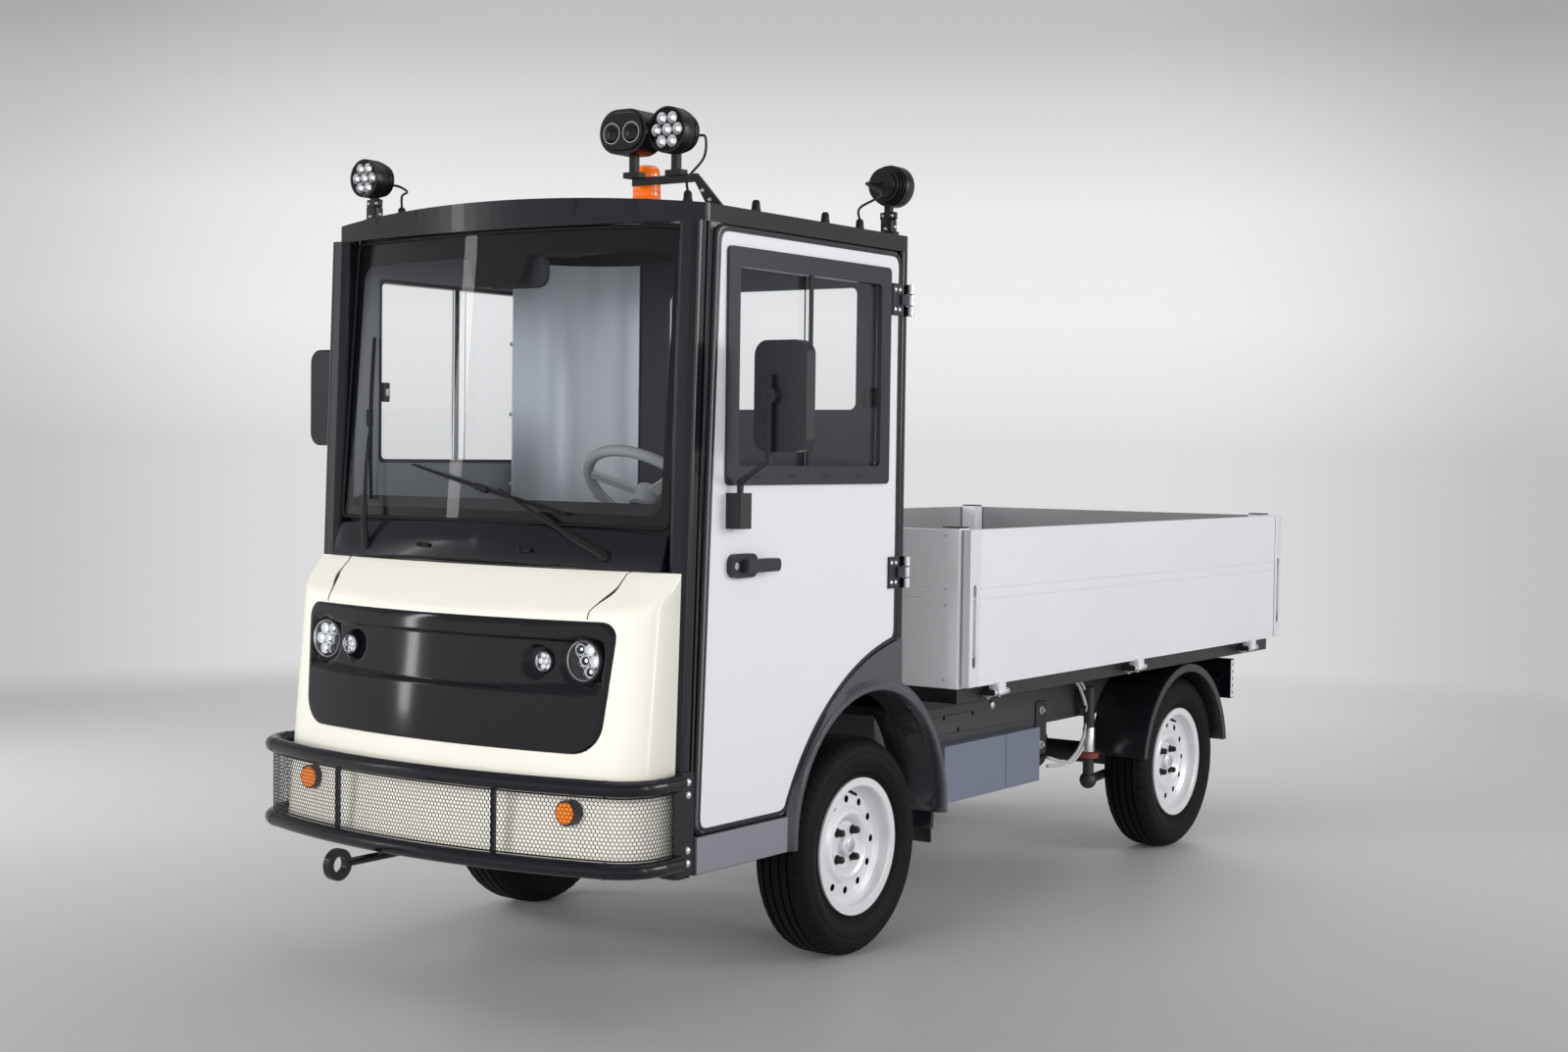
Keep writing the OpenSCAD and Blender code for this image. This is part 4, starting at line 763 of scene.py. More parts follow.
class Workshop:
    """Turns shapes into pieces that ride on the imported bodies."""

    def __init__(self, frame: dict, paints: Paintbox) -> None:
        """Keeps the frame and the paints.

        Args:
            paints: The materials.
        """
        self.frame = frame
        self.paints = paints

    def piece(self, name: str, shape: Shape, finish: Finish, body: str = "truck", smooth: float = 34.0,
              soften: float = 0.0) -> bpy.types.Object:
        """Makes a piece of a shape.

        Args:
            name: The piece's name.
            shape: Its points and faces.
            finish: Its finish.
            body: The body that it rides on.
            smooth: The angle in degrees below which edges look round.
            soften: Width of a bevel on its sharp edges.

        Returns:
            The new object.
        """
        mesh = bpy.data.meshes.new(name)
        mesh.from_pydata([tuple(p) for p in shape.points], [], shape.faces)
        mesh.validate()
        mesh.polygons.foreach_set("use_smooth", [True] * len(mesh.polygons))
        mesh.set_sharp_from_angle(angle=math.radians(smooth))
        piece = bpy.data.objects.new(name, mesh)
        bpy.context.scene.collection.objects.link(piece)
        mesh.materials.append(self.paints.get(finish))
        if soften:
            self.bevel(piece, soften)
        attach(piece, body)
        LOG.info("%s rides on %s in %s", name, body, finish.name)
        return piece

    def pieces(self, made: Iterable[tuple[str, Shape, Finish]], body: str = "truck") -> None:
        """Makes several pieces that ride on one body."""
        for name, shape, finish in made:
            self.piece(name, shape, finish, body)

    @staticmethod
    def bevel(piece: bpy.types.Object, width: float) -> None:
        """Adds a bevel to a piece's sharp edges.

        Args:
            piece: The piece.
            width: The bevel's width.
        """
        edge = piece.modifiers.new("soft_edges", "BEVEL")
        edge.width = width
        edge.segments = 2
        edge.limit_method = "ANGLE"
        edge.angle_limit = math.radians(40)
        edge.harden_normals = True

    def paint(self, finish: Finish, *nodes: str, soften: float = 0.0) -> None:
        """Gives solids a finish, and softens their sharp edges.

        Args:
            finish: The finish.
            *nodes: Names of the solids.
            soften: Width of the bevel, or zero for none.
        """
        for name in nodes:
            solid = self.frame["nodes"][name]
            solid.data.materials.clear()
            solid.data.materials.append(self.paints.get(finish))
            if soften:
                weld = solid.modifiers.new("joined_edges", "WELD")
                weld.merge_threshold = 0.00002
                self.bevel(solid, soften)
            LOG.info("%s painted in %s", name, finish.name)


@dataclass
class Wheels:
    """Tyres with tread, wheel nuts and valves on the four wheels."""

    shop: Workshop
    steps: int = 216
    groove_d: float = 0.007
    grooves: tuple[float, ...] = (0.0375, 0.0135, -0.0135, -0.0375)
    nut_ring: float = 0.050
    hub_face: float = 0.024
    holes: int = 12
    hole_ring: float = 0.121

    def section(self) -> Outline:
        """The tyre's section as radius and distance from its middle plane, outer bead to inner bead.

        Returns:
            The section.
        """
        side = [(0.1657, 0.052), (0.172, 0.0578), (0.181, 0.0598), (0.1835, 0.0628), (0.1865, 0.0628), (0.189, 0.061),
                (0.197, 0.0655), (0.2, 0.0692), (0.2035, 0.0692), (0.206, 0.0705), (0.22, 0.0768), (0.2295, 0.0785),
                (0.241, 0.0785), (0.2425, 0.0775), (0.2445, 0.0783), (0.2575, 0.0765), (0.2665, 0.072),
                (0.2745, 0.0655), (0.2795, 0.0605), (0.2832, 0.0555)]
        tread: Outline = [(0.2862, 0.0475)]
        for middle in self.grooves:
            for offset, depth in ((0.0034, 0.0), (0.0026, self.groove_d), (-0.0026, self.groove_d), (-0.0034, 0.0)):
                z = middle + offset
                tread.append((LAYOUT.tyre_r - 0.0012 * (z / 0.045) ** 2 - depth, z))
        tread.append((0.2862, -0.0475))
        return side + tread + [(r, -z) for r, z in reversed(side)]

    def tyre(self) -> Shape:
        """The tyre about Z, its shoulders notched.

        Returns:
            The tyre.
        """
        rings = []
        for r, z in self.section():
            ring = []
            for i in range(self.steps):
                notch = 0.0
                if 0.0415 < abs(z) < 0.0662 and r > 0.27 and (i + (1 if z < 0 else 0)) % 4 == 0:
                    notch = 0.0045
                angle = math.tau * i / self.steps
                ring.append(((r - notch) * math.cos(angle), (r - notch) * math.sin(angle), z))
            rings.append(ring)
        return Shape().loft(rings, capped=False, wrap=True)

    def nuts(self) -> Shape:
        """Four capped nuts on the hub face.

        Returns:
            The nuts.
        """
        shape = Shape()
        for i in range(4):
            angle = math.radians(45 + 90 * i)
            at = moved(self.nut_ring * math.cos(angle), self.nut_ring * math.sin(angle), self.hub_face)
            shape.lathe([(0.0, -0.001), (0.0135, -0.001), (0.0115, 0.003), (0.0, 0.003)], at, 24)
            shape.lathe([(0.0, 0.003), (0.0105, 0.003), (0.0105, 0.016), (0.008, 0.0205), (0.004, 0.0225),
                         (0.0, 0.0228)], at, 6)
        return shape

    def linings(self) -> Shape:
        """Painted shade: a dark ring behind the disc and dark walls in its holes, so that the holes look shaded.

        Returns:
            Both as one shape.
        """
        shape = Shape().lathe([(0.1055, 0.0191), (0.137, 0.0173), (0.137, 0.015), (0.1055, 0.0165)], IDENTITY, 72,
                              closed=True)
        for i in range(self.holes):
            hole = Matrix.Rotation(math.tau * i / self.holes, 4, "Z") @ moved(self.hole_ring, 0.0, 0.0)
            shape.lathe([(0.0099, 0.018), (0.0099, 0.0266), (0.009, 0.0262), (0.009, 0.018)], hole, 20, closed=True)
        return shape

    def build(self) -> None:
        """Builds and dresses the four wheels."""
        for end, y in (("front", LAYOUT.front_y), ("rear", LAYOUT.rear_y)):
            for side, sign in SIDES.items():
                place = facing((sign * LAYOUT.wheel_x, y, LAYOUT.tyre_r), LEFT * sign)
                wheel, body = f"{end}_{side}", f"wheel_{end}_{side}"
                tread = self.shop.piece(f"tread_{wheel}", Shape().join(self.tyre(), place), Palette.TYRE, body)
                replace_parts(tread, f"tyre_{wheel}")
                self.shop.piece(f"nuts_{wheel}", Shape().join(self.nuts(), place), Palette.LAMP_BODY, body)
                cap = Shape().lathe([(0.0, 0.0415), (0.018, 0.0415), (0.0185, 0.0435), (0.0165, 0.0445), (0.0, 0.0447)],
                                    place, 40)
                # The dark ring behind the disc and the dark hole walls are painted shade, so that the holes look
                # shaded.
                self.shop.pieces((
                    (f"cap_{wheel}", cap, Palette.STEEL),
                    (f"hole_shade_{wheel}", Shape().join(self.linings(), place), Palette.RUBBER),
                ), body)
                valve = Shape().lathe([(0.0, 0.0), (0.005, 0.0), (0.004, 0.014), (0.0042, 0.026), (0.003, 0.034),
                                       (0.0, 0.0345)], place @ facing((0.0, 0.146, 0.028), (0.0, -0.35, 1.0)), 14)
                self.shop.piece(f"valve_{wheel}", valve, Palette.RUBBER, body)
        self.shop.paint(Palette.RIM, "rim_front_left", "rim_front_right", "rim_rear_left", "rim_rear_right")


@dataclass(frozen=True)
class Bow:
    """A path in plan with a bowed front, round corners and straight ends."""

    front: float
    bow_r: float
    corner_r: float
    half: float

    @property
    def turn(self) -> float:
        """The angle at which the front meets a corner."""
        return math.asin((self.half - self.corner_r) / (self.bow_r - self.corner_r))

    @property
    def side_start(self) -> float:
        """The distance along the path at which a straight end starts."""
        return self.bow_r * self.turn + self.corner_r * (math.pi / 2 - self.turn)

    def along(self, s: float, inset: float = 0.0) -> tuple[Vector, Vector]:
        """A point of the path, and the outward direction there.

        Args:
            s: Distance from the truck's middle along the path, to its left where positive.
            inset: Distance inside the path.

        Returns:
            The point and the direction, both at height zero.
        """
        sign, s = (1.0, s) if s >= 0 else (-1.0, -s)
        middle_y = self.front + self.bow_r
        reach = self.bow_r - self.corner_r
        centre = Vector((reach * math.sin(self.turn), middle_y - reach * math.cos(self.turn), 0.0))
        arc = self.bow_r * self.turn
        if s <= arc:
            out = Vector((math.sin(s / self.bow_r), -math.cos(s / self.bow_r), 0.0))
            point = Vector((0.0, middle_y, 0.0)) + out * (self.bow_r - inset)
        else:
            angle = min(self.turn + (s - arc) / self.corner_r, math.pi / 2)
            out = Vector((math.sin(angle), -math.cos(angle), 0.0))
            point = centre + out * (self.corner_r - inset) + Vector((0.0, max(s - self.side_start, 0.0), 0.0))
        return Vector((point.x * sign, point.y, 0.0)), Vector((out.x * sign, out.y, 0.0))


@dataclass
class Bumper:
    """Perforated sheet and bolts of the front bumper."""

    shop: Workshop
    path: Bow = Bow(LAYOUT.front_y - 1.062, 1.8, 0.110, 0.622)
    inset: float = 0.002
    low: float = 0.3884
    high: float = 0.5356
    pitch: float = 0.0104
    hole: float = 0.0051
    sheet: float = 0.0011

    def mesh(self) -> Shape:
        """The sheet with its rows of six-sided holes.

        Returns:
            The sheet.
        """
        shape = Shape()
        reach = 0.748
        rise = self.pitch * math.sqrt(3) / 2
        cell = self.pitch / math.sqrt(3)
        rows = int((self.high - self.low) / rise)
        base = (self.low + self.high) / 2 - rise * (rows - 1) / 2
        columns = int(reach / self.pitch)
        corners = [(math.cos(math.radians(60 * k + 30)), math.sin(math.radians(60 * k + 30))) for k in range(6)]
        for row in range(rows):
            for column in range(-columns, columns + 1):
                s = (column + 0.5 * (row % 2)) * self.pitch
                z = base + row * rise
                points = []
                for back in (0.0, self.sheet):
                    for size in (cell, self.hole):
                        for u, v in corners:
                            point, out = self.path.along(s + size * u, self.inset)
                            points.append((point - out * back) + UP * (z + size * v))
                faces = []
                for k in range(6):
                    n = (k + 1) % 6
                    faces += [(k, n, 6 + n, 6 + k), (6 + k, 6 + n, 18 + n, 18 + k), (12 + n, 12 + k, 18 + k, 18 + n)]
                shape.add(points, faces)
        return shape

    def margins(self) -> Shape:
        """Plain strips round the sheet's four edges.

        Returns:
            The strips.
        """
        shape = Shape()
        for z in (self.low + 0.002, self.high - 0.002):
            line = [self.path.along(s, self.inset)[0] + UP * z for s in (i * 0.757 / 60 for i in range(-60, 61))]
            shape.tube(line, 0.0022, 6)
        for s in (-0.752, 0.752):
            place = self.path.along(s, self.inset)[0] + UP * (self.low + self.high) / 2
            shape.pad((0.016, self.high - self.low, 0.003), facing(place, self.path.along(s)[1]))
        return shape

    def bolts(self) -> Shape:
        """Four round heads on each end plate.

        Returns:
            The bolts of both plates.
        """
        shape = Shape()
        for sign in SIDES.values():
            for z in (0.362, 0.392, 0.522, 0.552):
                place = (sign * (LAYOUT.cab_x + 0.006), LAYOUT.foot_y + 0.032, z)
                shape.dome_bolt(facing(place, LEFT * sign), 0.019, 0.007)
        return shape

    def build(self) -> None:
        """Builds the bumper's sheet and bolts."""
        mesh = self.shop.piece("bumper_perforation", self.mesh(), Palette.CAB_BLACK)
        mesh.visible_shadow = False
        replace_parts(mesh, "bumper_mesh")
        self.shop.pieces((
            ("bumper_margins", self.margins(), Palette.CAB_BLACK),
            ("bumper_bolts", self.bolts(), Palette.STEEL),
        ))
        self.shop.paint(Palette.CAB_BLACK, "bumper_frame", "tow_eye")


@dataclass
class Nose:
    """Moulded nose and bonnet with soft shoulders, and the gloss panel in its front."""

    shop: Workshop
    path: Bow = Bow(LAYOUT.front_y - 1.012, 2.0, 0.085, 0.598)
    low: float = 0.366
    edge: float = 0.934
    top: float = 1.038
    lean: float = math.tan(math.radians(5.5))
    slope: float = math.tan(math.radians(48.0))
    bonnet_low: float = 0.926
    inner_columns: int = 64
    outer_columns: int = 24
    rounds: int = 14
    panel_depth: float = 0.014
    fine_z: float = 0.89
    gap_half: float = 0.0023
    gap_swell: float = 0.0046
    gap_swell_z: float = 0.986
    gap_swell_h: float = 0.016
    seal_depth: float = 0.68

    def front_at(self, x: float, z: float) -> float:
        """The front's Y at a place."""
        return self.path.front + x * x / (2 * self.path.bow_r) + self.lean * (z - self.low)

    def slope_at(self, x: float, z: float) -> float:
        """The bonnet slope's Y at a place."""
        return self.path.front + self.lean * (self.edge - self.low) + self.slope * (z - self.edge) + x * x / 5.2

    def split(self, z: float) -> float:
        """Half of the bonnet's width at a height."""
        return 0.4345 + 0.0345 * ramp(z - 0.944, 0.062)

    def grid(self) -> list[list[Vector]]:
        """Rows of points from the bumper up over the slope to the cowl.

        Returns:
            The rows, lowest first.
        """
        heights = [self.low + (self.fine_z - self.low) * i / 52 for i in range(52)]
        heights += [self.fine_z + (self.top - self.fine_z) * i / 37 for i in range(38)]
        n, m = self.inner_columns, self.outer_columns
        rows = []
        for z in heights:
            pillar = LAYOUT.foot_y + math.tan(math.radians(1.9)) * (z - 0.34) - 0.0015
            shift = self.lean * (z - self.low)
            inner = self.path.bow_r * math.asin(self.split(max(z, self.bonnet_low)) / self.path.bow_r)
            outer = self.path.side_start + pillar - shift - self.path.along(self.path.side_start)[0].y
            half = [inner * k / (n // 2) for k in range(n // 2)]
            half += [inner + (outer - inner) * k / m for k in range(m + 1)]
            row = []
            for s in [-v for v in reversed(half[1:])] + half:
                point = self.path.along(s)[0]
                y = min(max(point.y + shift, self.slope_at(point.x, z)), pillar)
                row.append(Vector((point.x, y, z)))
            rows.append(row)
        self.soften(rows)
        for row in rows:
            for point in row:
                half = 0.453 - 0.019 * (1 - ramp(point.z - 0.66, 0.15))
                across, up = abs(point.x) - half, abs(point.z - 0.772) - 0.1
                inside = 0.052 - math.hypot(max(across, 0.0), max(up, 0.0)) - min(max(across, up), 0.0)
                point.y += 0.045 * ramp(inside - 0.012, 0.006)
        return rows

    def soften(self, rows: list[list[Vector]]) -> None:
        """Rounds the creases of a grid and keeps its edges.

        Args:
            rows: The grid, which is changed in place.
        """
        for _ in range(self.rounds):
            old = [[p.copy() for p in row] for row in rows]
            for i in range(1, len(rows) - 1):
                for k in range(1, len(rows[0]) - 1):
                    a, b, c, d = old[i][k - 1], old[i][k + 1], old[i - 1][k], old[i + 1][k]
                    here = rows[i][k]
                    here.x = 0.5 * here.x + 0.25 * (a.x + b.x)
                    here.y = 0.5 * here.y + 0.125 * (a.y + b.y + c.y + d.y)

    def skins(self) -> tuple[Shape, Shape, Shape]:
        """Nose, bonnet and the dark seals in the two gaps.

        Returns:
            The three shapes in that order.
        """
        rows = self.grid()
        nose, bonnet, seals = Shape(), Shape(), Shape()
        first = next(i for i, row in enumerate(rows) if row[0].z >= self.bonnet_low)
        n, m = self.inner_columns, self.outer_columns
        inward = Vector((0.0, 0.9, -0.43)) * 0.014
        nose.sheet(rows[:first + 1])
        right, left, middle, lines = [], [], [], ([], [])
        for row in rows[first:]:
            swell = self.gap_swell * math.exp(-((row[0].z - self.gap_swell_z) / self.gap_swell_h) ** 2)
            gap = Vector((self.gap_half + swell, 0.0, 0.0))
            a, b = row[m], row[m + n]
            right.append([*row[:m], a - gap, a - gap + inward])
            middle.append([a + gap + inward, a + gap, *row[m + 1:m + n], b - gap, b - gap + inward])
            left.append([b + gap + inward, b + gap, *row[m + n + 1:]])
            lines[0].append(a + self.seal_depth * inward)
            lines[1].append(b + self.seal_depth * inward)
        shelf = [[Vector((p.x, p.y + (LAYOUT.foot_y + 0.02 - p.y) * k / 2, p.z - 0.0005 * k)) for p in row[1:-1]]
                 for row in (middle[-1],) for k in range(3)]
        nose.sheet(right).sheet(left)
        bonnet.sheet(middle).sheet(shelf)
        for line in lines:
            seals.tube(line, 0.0075, 8)
        return nose, bonnet, seals

    def recess(self, x: float, z: float) -> float:
        """The depth of the panel's channel and lamp dishes at a place.

        Args:
            x: The place across the truck.
            z: The height.

        Returns:
            The depth.
        """
        x = abs(x)
        floor = 0.753 + 0.01 * (x / 0.45) ** 2
        depth = self.panel_depth * ramp(0.884 - z, 0.009) * ramp(z - floor, 0.012) * ramp(0.484 - x, 0.012)
        depth += 0.007 * ramp(0.062 - math.hypot(x - 0.426, z - 0.834), 0.009)
        return depth + 0.013 * ramp(0.041 - math.hypot(x - 0.301, z - 0.828), 0.012)

    def panel(self) -> Shape:
        """The gloss panel with its ledge, channel, lamp dishes and rolled edge.

        Returns:
            The panel.
        """
        outline = hull_outline(((0.47, 0.889, 0.037), (-0.47, 0.889, 0.037), (0.413, 0.696, 0.077),
                                (-0.413, 0.696, 0.077)), 240)
        rings = []
        shares = [i / 84 for i in range(1, 82)] + [0.975, 0.985, 0.993, 0.998, 1.0, 1.0]
        for n, share in enumerate(shares):
            ring = []
            for x, z in outline:
                x, z = x * share, 0.772 + (z - 0.772) * share
                y = soft_max(self.front_at(x, z), self.slope_at(x, z), 0.03) - 0.006 + self.recess(x, z)
                edge = max(share - 0.97, 0.0) / 0.03
                y += 0.0055 * edge**3 + (0.012 if n == len(shares) - 1 else 0.0)
                ring.append((x, y, z))
            rings.append(ring)
        return Shape().loft(rings)

    def build(self) -> None:
        """Builds the nose's pieces."""
        nose, bonnet, seals = self.skins()
        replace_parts(self.shop.piece("nose_moulding", nose, Palette.CREAM, smooth=60.0), "nose_shell")
        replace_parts(self.shop.piece("bonnet_skin", bonnet, Palette.CREAM, smooth=50.0), "bonnet")
        self.shop.piece("bonnet_seals", seals, Palette.RUBBER)
        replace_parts(self.shop.piece("gloss_panel", self.panel(), Palette.PANEL, smooth=60.0), "front_panel")


@dataclass
class Headlamps:
    """Round lamps in the front panel and indicators behind the bumper's sheet."""

    shop: Workshop
    lamp_z: float = 0.834
    big_x: float = 0.426
    small_x: float = 0.322
    big_face: float = 0.916
    small_face: float = 0.936
    indicator_z: float = 0.487
    indicator_face: float = 0.974

    def places(self) -> list[tuple[Matrix, float]]:
        """Where each lamp faces forward, with its radius.

        Returns:
            A matrix and a radius for each lamp.
        """
        found = []
        for sign in SIDES.values():
            found.append((facing((sign * self.big_x, LAYOUT.front_y - self.big_face, self.lamp_z), FORWARD), 0.048))
            found.append((facing((sign * self.small_x, LAYOUT.front_y - self.small_face, self.lamp_z - 0.006), FORWARD),
                          0.024))
        return found

    def build(self) -> None:
        """Builds the lamps."""
        cups, emitters, lenses, rings, beds = Shape(), Shape(), Shape(), Shape(), Shape()
        for at, r in self.places():
            rings.lathe([(r * 0.93, -0.006), (r, -0.02), (r, 0.002), (r * 0.975, 0.0045), (r * 0.93, 0.003)], at, 56,
                        closed=True)
            beds.lathe([(r, -0.03), (r * 1.13, -0.03), (r * 1.13, -0.003), (r * 1.09, 0.001), (r, -0.001)], at, 56,
                       closed=True)
            beds.lathe([(0.0, -0.02), (r * 0.95, -0.02), (r * 0.95, -0.0135), (0.0, -0.0135)], at, 40)
            for x, y in rosette(0.61 * r):
                spot = at @ moved(x, y, -0.012)
                cups.lathe([(r * 0.3, 0.0), (r * 0.295, 0.008), (r * 0.275, 0.008), (r * 0.2, 0.0028),
                            (r * 0.1, 0.0005), (0.0, 0.0005)], spot, 14)
                emitters.lathe([(r * 0.12, 0.0008), (r * 0.11, 0.0035), (r * 0.05, 0.005), (0.0, 0.0052)], spot, 12)
            lenses.lathe([(r * 0.95, 0.0), (r * 0.8, 0.0035), (r * 0.5, 0.006), (0.0, 0.0072), (0.0, 0.0056),
                          (r * 0.5, 0.0044), (r * 0.8, 0.0018), (r * 0.93, -0.0015)], at, 48)
        glass = self.shop.piece("headlamp_lenses", lenses, Palette.LENS)
        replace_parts(glass, "front_lamps")
        self.shop.piece("headlamp_cups", cups, Palette.RIM, smooth=24.0)
        self.shop.pieces((
            ("headlamp_emitters", emitters, Palette.LED),
            ("headlamp_rings", rings, Palette.STEEL),
            ("headlamp_beds", beds, Palette.LAMP_BODY),
        ))
        amber, rims = Shape(), Shape()
        for sign in SIDES.values():
            at = facing((sign * self.big_x, LAYOUT.front_y - self.indicator_face, self.indicator_z), FORWARD)
            amber.lathe([(0.0, -0.03), (0.0265, -0.03), (0.0265, 0.001), (0.025, 0.006), (0.021, 0.0075),
                         (0.0195, 0.0068), (0.018, 0.0085), (0.0135, 0.0095), (0.0125, 0.0088), (0.011, 0.0102),
                         (0.0, 0.0108)], at, 40)
            rims.lathe([(0.0272, -0.03), (0.0298, -0.03), (0.0298, 0.003), (0.0285, 0.0045), (0.0272, 0.003)], at, 40,
                       closed=True)
        self.shop.pieces((
            ("indicator_lenses", amber, Palette.AMBER),
            ("indicator_rims", rims, Palette.TRIM),
        ))


@dataclass
class Windscreen:
    """Black border, seal, wipers and washer jets of the windscreen."""

    shop: Workshop
    half: float = 0.5465
    low: float = 1.1425
    high: float = 1.862
    side_band: float = 0.03
    low_band: float = 0.03
    top_band: float = 0.062

    def border_pairs(self) -> Pairs:
        """Points of the clear opening with the points of the glass edge beside them, round the glass.

        Returns:
            An inner and an outer point at each step.
        """
        x1, z0, z1 = self.half - self.side_band, self.low + self.low_band, self.high - self.top_band
        notch = ((-0.1, 0.0), (-0.075, -0.075), (0.075, -0.075), (0.1, 0.0))
        radius = 0.035
        pairs: Pairs = []
        corners = ((x1, z0, -90, self.half, self.low), (x1, z1, 0, self.half, self.high),
                   (-x1, z1, 90, -self.half, self.high), (-x1, z0, 180, -self.half, self.low))
        for n, (x, z, start, outer_x, outer_z) in enumerate(corners):
            centre = (x - math.copysign(radius, x), z + (radius if z == z0 else -radius))
            for k in range(7):
                angle = math.radians(start + 15 * k)
                inner = (centre[0] + radius * math.cos(angle), centre[1] + radius * math.sin(angle))
                outer = (outer_x, outer_z)
                if k == 0:
                    outer = (inner[0], outer_z) if n in (0, 2) else (outer_x, inner[1])
                elif k == 6:
                    outer = (outer_x, inner[1]) if n in (0, 2) else (inner[0], outer_z)
                pairs.append((inner, outer))
            if n == 1:
                for x_n, dz in reversed(notch):
                    pairs.append(((x_n, z1 + dz), (x_n, self.high)))
        return pairs

    def border(self) -> Shape:
        """The black border, just inside the glass.

        Returns:
            The border.
        """
        pairs = self.border_pairs()
        steps, inside = 6, -0.0075
        fine: Pairs = []
        for (a, b), (c, d) in zip(pairs, pairs[1:] + pairs[:1]):
            count = max(1, int(math.dist(a, c) / 0.03))
            for k in range(count):
                t = k / count
                fine.append((tuple(Vector(a).lerp(Vector(c), t)), tuple(Vector(b).lerp(Vector(d), t))))
        rows = [[LAYOUT.on_screen(*Vector(inner).lerp(Vector(outer), k / steps), inside) for k in range(steps + 1)]
                for inner, outer in fine]
        return Shape().sheet([*rows, rows[0]])

    def seal(self) -> Shape:
        """The rubber cord round the glass edge.

        Returns:
            The cord.
        """
        outline = rounded_rect(2 * self.half - 0.004, self.high - self.low - 0.004, 0.02)
        middle = (self.high + self.low) / 2
        dense: list[Vector] = []
        for a, b in zip(outline, outline[1:] + outline[:1]):
            count = max(1, int(math.dist(a, b) / 0.04))
            for k in range(count):
                p = Vector(a).lerp(Vector(b), k / count)
                dense.append(LAYOUT.on_screen(p.x, p.y + middle, 0.001))
        return Shape().tube(dense, 0.0045, 8, closed=True)

    def wipers(self) -> tuple[Shape, Shape]:
        """Arms with their caps, and blades.

        Returns:
            The arms and the blades.
        """
        arms, blades = Shape(), Shape()
        runs = (
            ((0.398, -0.066), (0.075, 0.082), (0.275, 0.028), (-0.245, 0.14)),
            ((-0.398, -0.066), (-0.422, 0.215), (-0.41, 0.05), (-0.44, 0.47)),
        )
        for pivot, tip, first, last in runs:
            root = LAYOUT.on_screen(pivot[0], LAYOUT.screen_z + pivot[1], 0.026)
            end = LAYOUT.on_screen(tip[0], LAYOUT.screen_z + tip[1], 0.019)
            out = (FORWARD + UP * 0.3).normalized()
            arms.lathe([(0.0, -0.024), (0.014, -0.024), (0.0145, -0.004), (0.012, 0.004), (0.006, 0.0075),
                        (0.0, 0.008)], facing(root, out), 24)
            knee = root.lerp(end, 0.36) + FORWARD * 0.008
            arms.tube([root, root.lerp(knee, 0.5) + FORWARD * 0.004, knee], lambda t: 0.0095 - 0.0025 * t, 8)
            arms.tube([knee, knee.lerp(end, 0.6) + FORWARD * 0.003, end], lambda t: 0.0056 - 0.0018 * t, 8)
            points = []
            for k in range(15):
                t = k / 14
                x, up = first[0] + (last[0] - first[0]) * t, first[1] + (last[1] - first[1]) * t
                points.append(LAYOUT.on_screen(x, LAYOUT.screen_z + up, 0.0085 + 0.006 * math.sin(math.pi * t)))
            blades.tube(points, lambda t: 0.0032 + 0.0022 * math.sin(math.pi * t), 8)
            blades.tube([p - FORWARD * 0.0052 for p in points], 0.0022, 6)
            bridge = points[7]
            blades.pad((0.016, 0.044, 0.012), facing(bridge - FORWARD * 0.003, FORWARD,
                                                     0.0 if pivot[0] < 0 else 75.0))
        return arms, blades

    def jets(self) -> Shape:
        """Two washer jets on the cowl.

        Returns:
            The jets.
        """
        shape = Shape()
        for x in (-0.169, 0.169):
            at = facing((x, LAYOUT.screen_y - 0.0235, 1.0795), (0.0, -1.0, 0.3))
            shape.pad((0.044, 0.011, 0.004), at, 0.005, 0.001)
            shape.lathe([(0.0, 0.003), (0.004, 0.003), (0.0035, 0.0075), (0.0, 0.0085)],
                        at @ moved(-0.012, 0.0, 0.0), 14)
        return shape

    def build(self) -> None:
        """Builds the windscreen's pieces."""
        self.shop.pieces((
            ("screen_border", self.border(), Palette.FRIT),
            ("screen_seal", self.seal(), Palette.RUBBER),
        ))
        arms, blades = self.wipers()
        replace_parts(self.shop.piece("wiper_arms", arms, Palette.LAMP_BODY), "wipers")
        self.shop.pieces((
            ("wiper_blades", blades, Palette.RUBBER),
            ("washer_jets", self.jets(), Palette.RUBBER),
        ))
        self.shop.paint(Palette.GLASS, "windscreen", "rear_window", "door_glass_left", "door_glass_right")


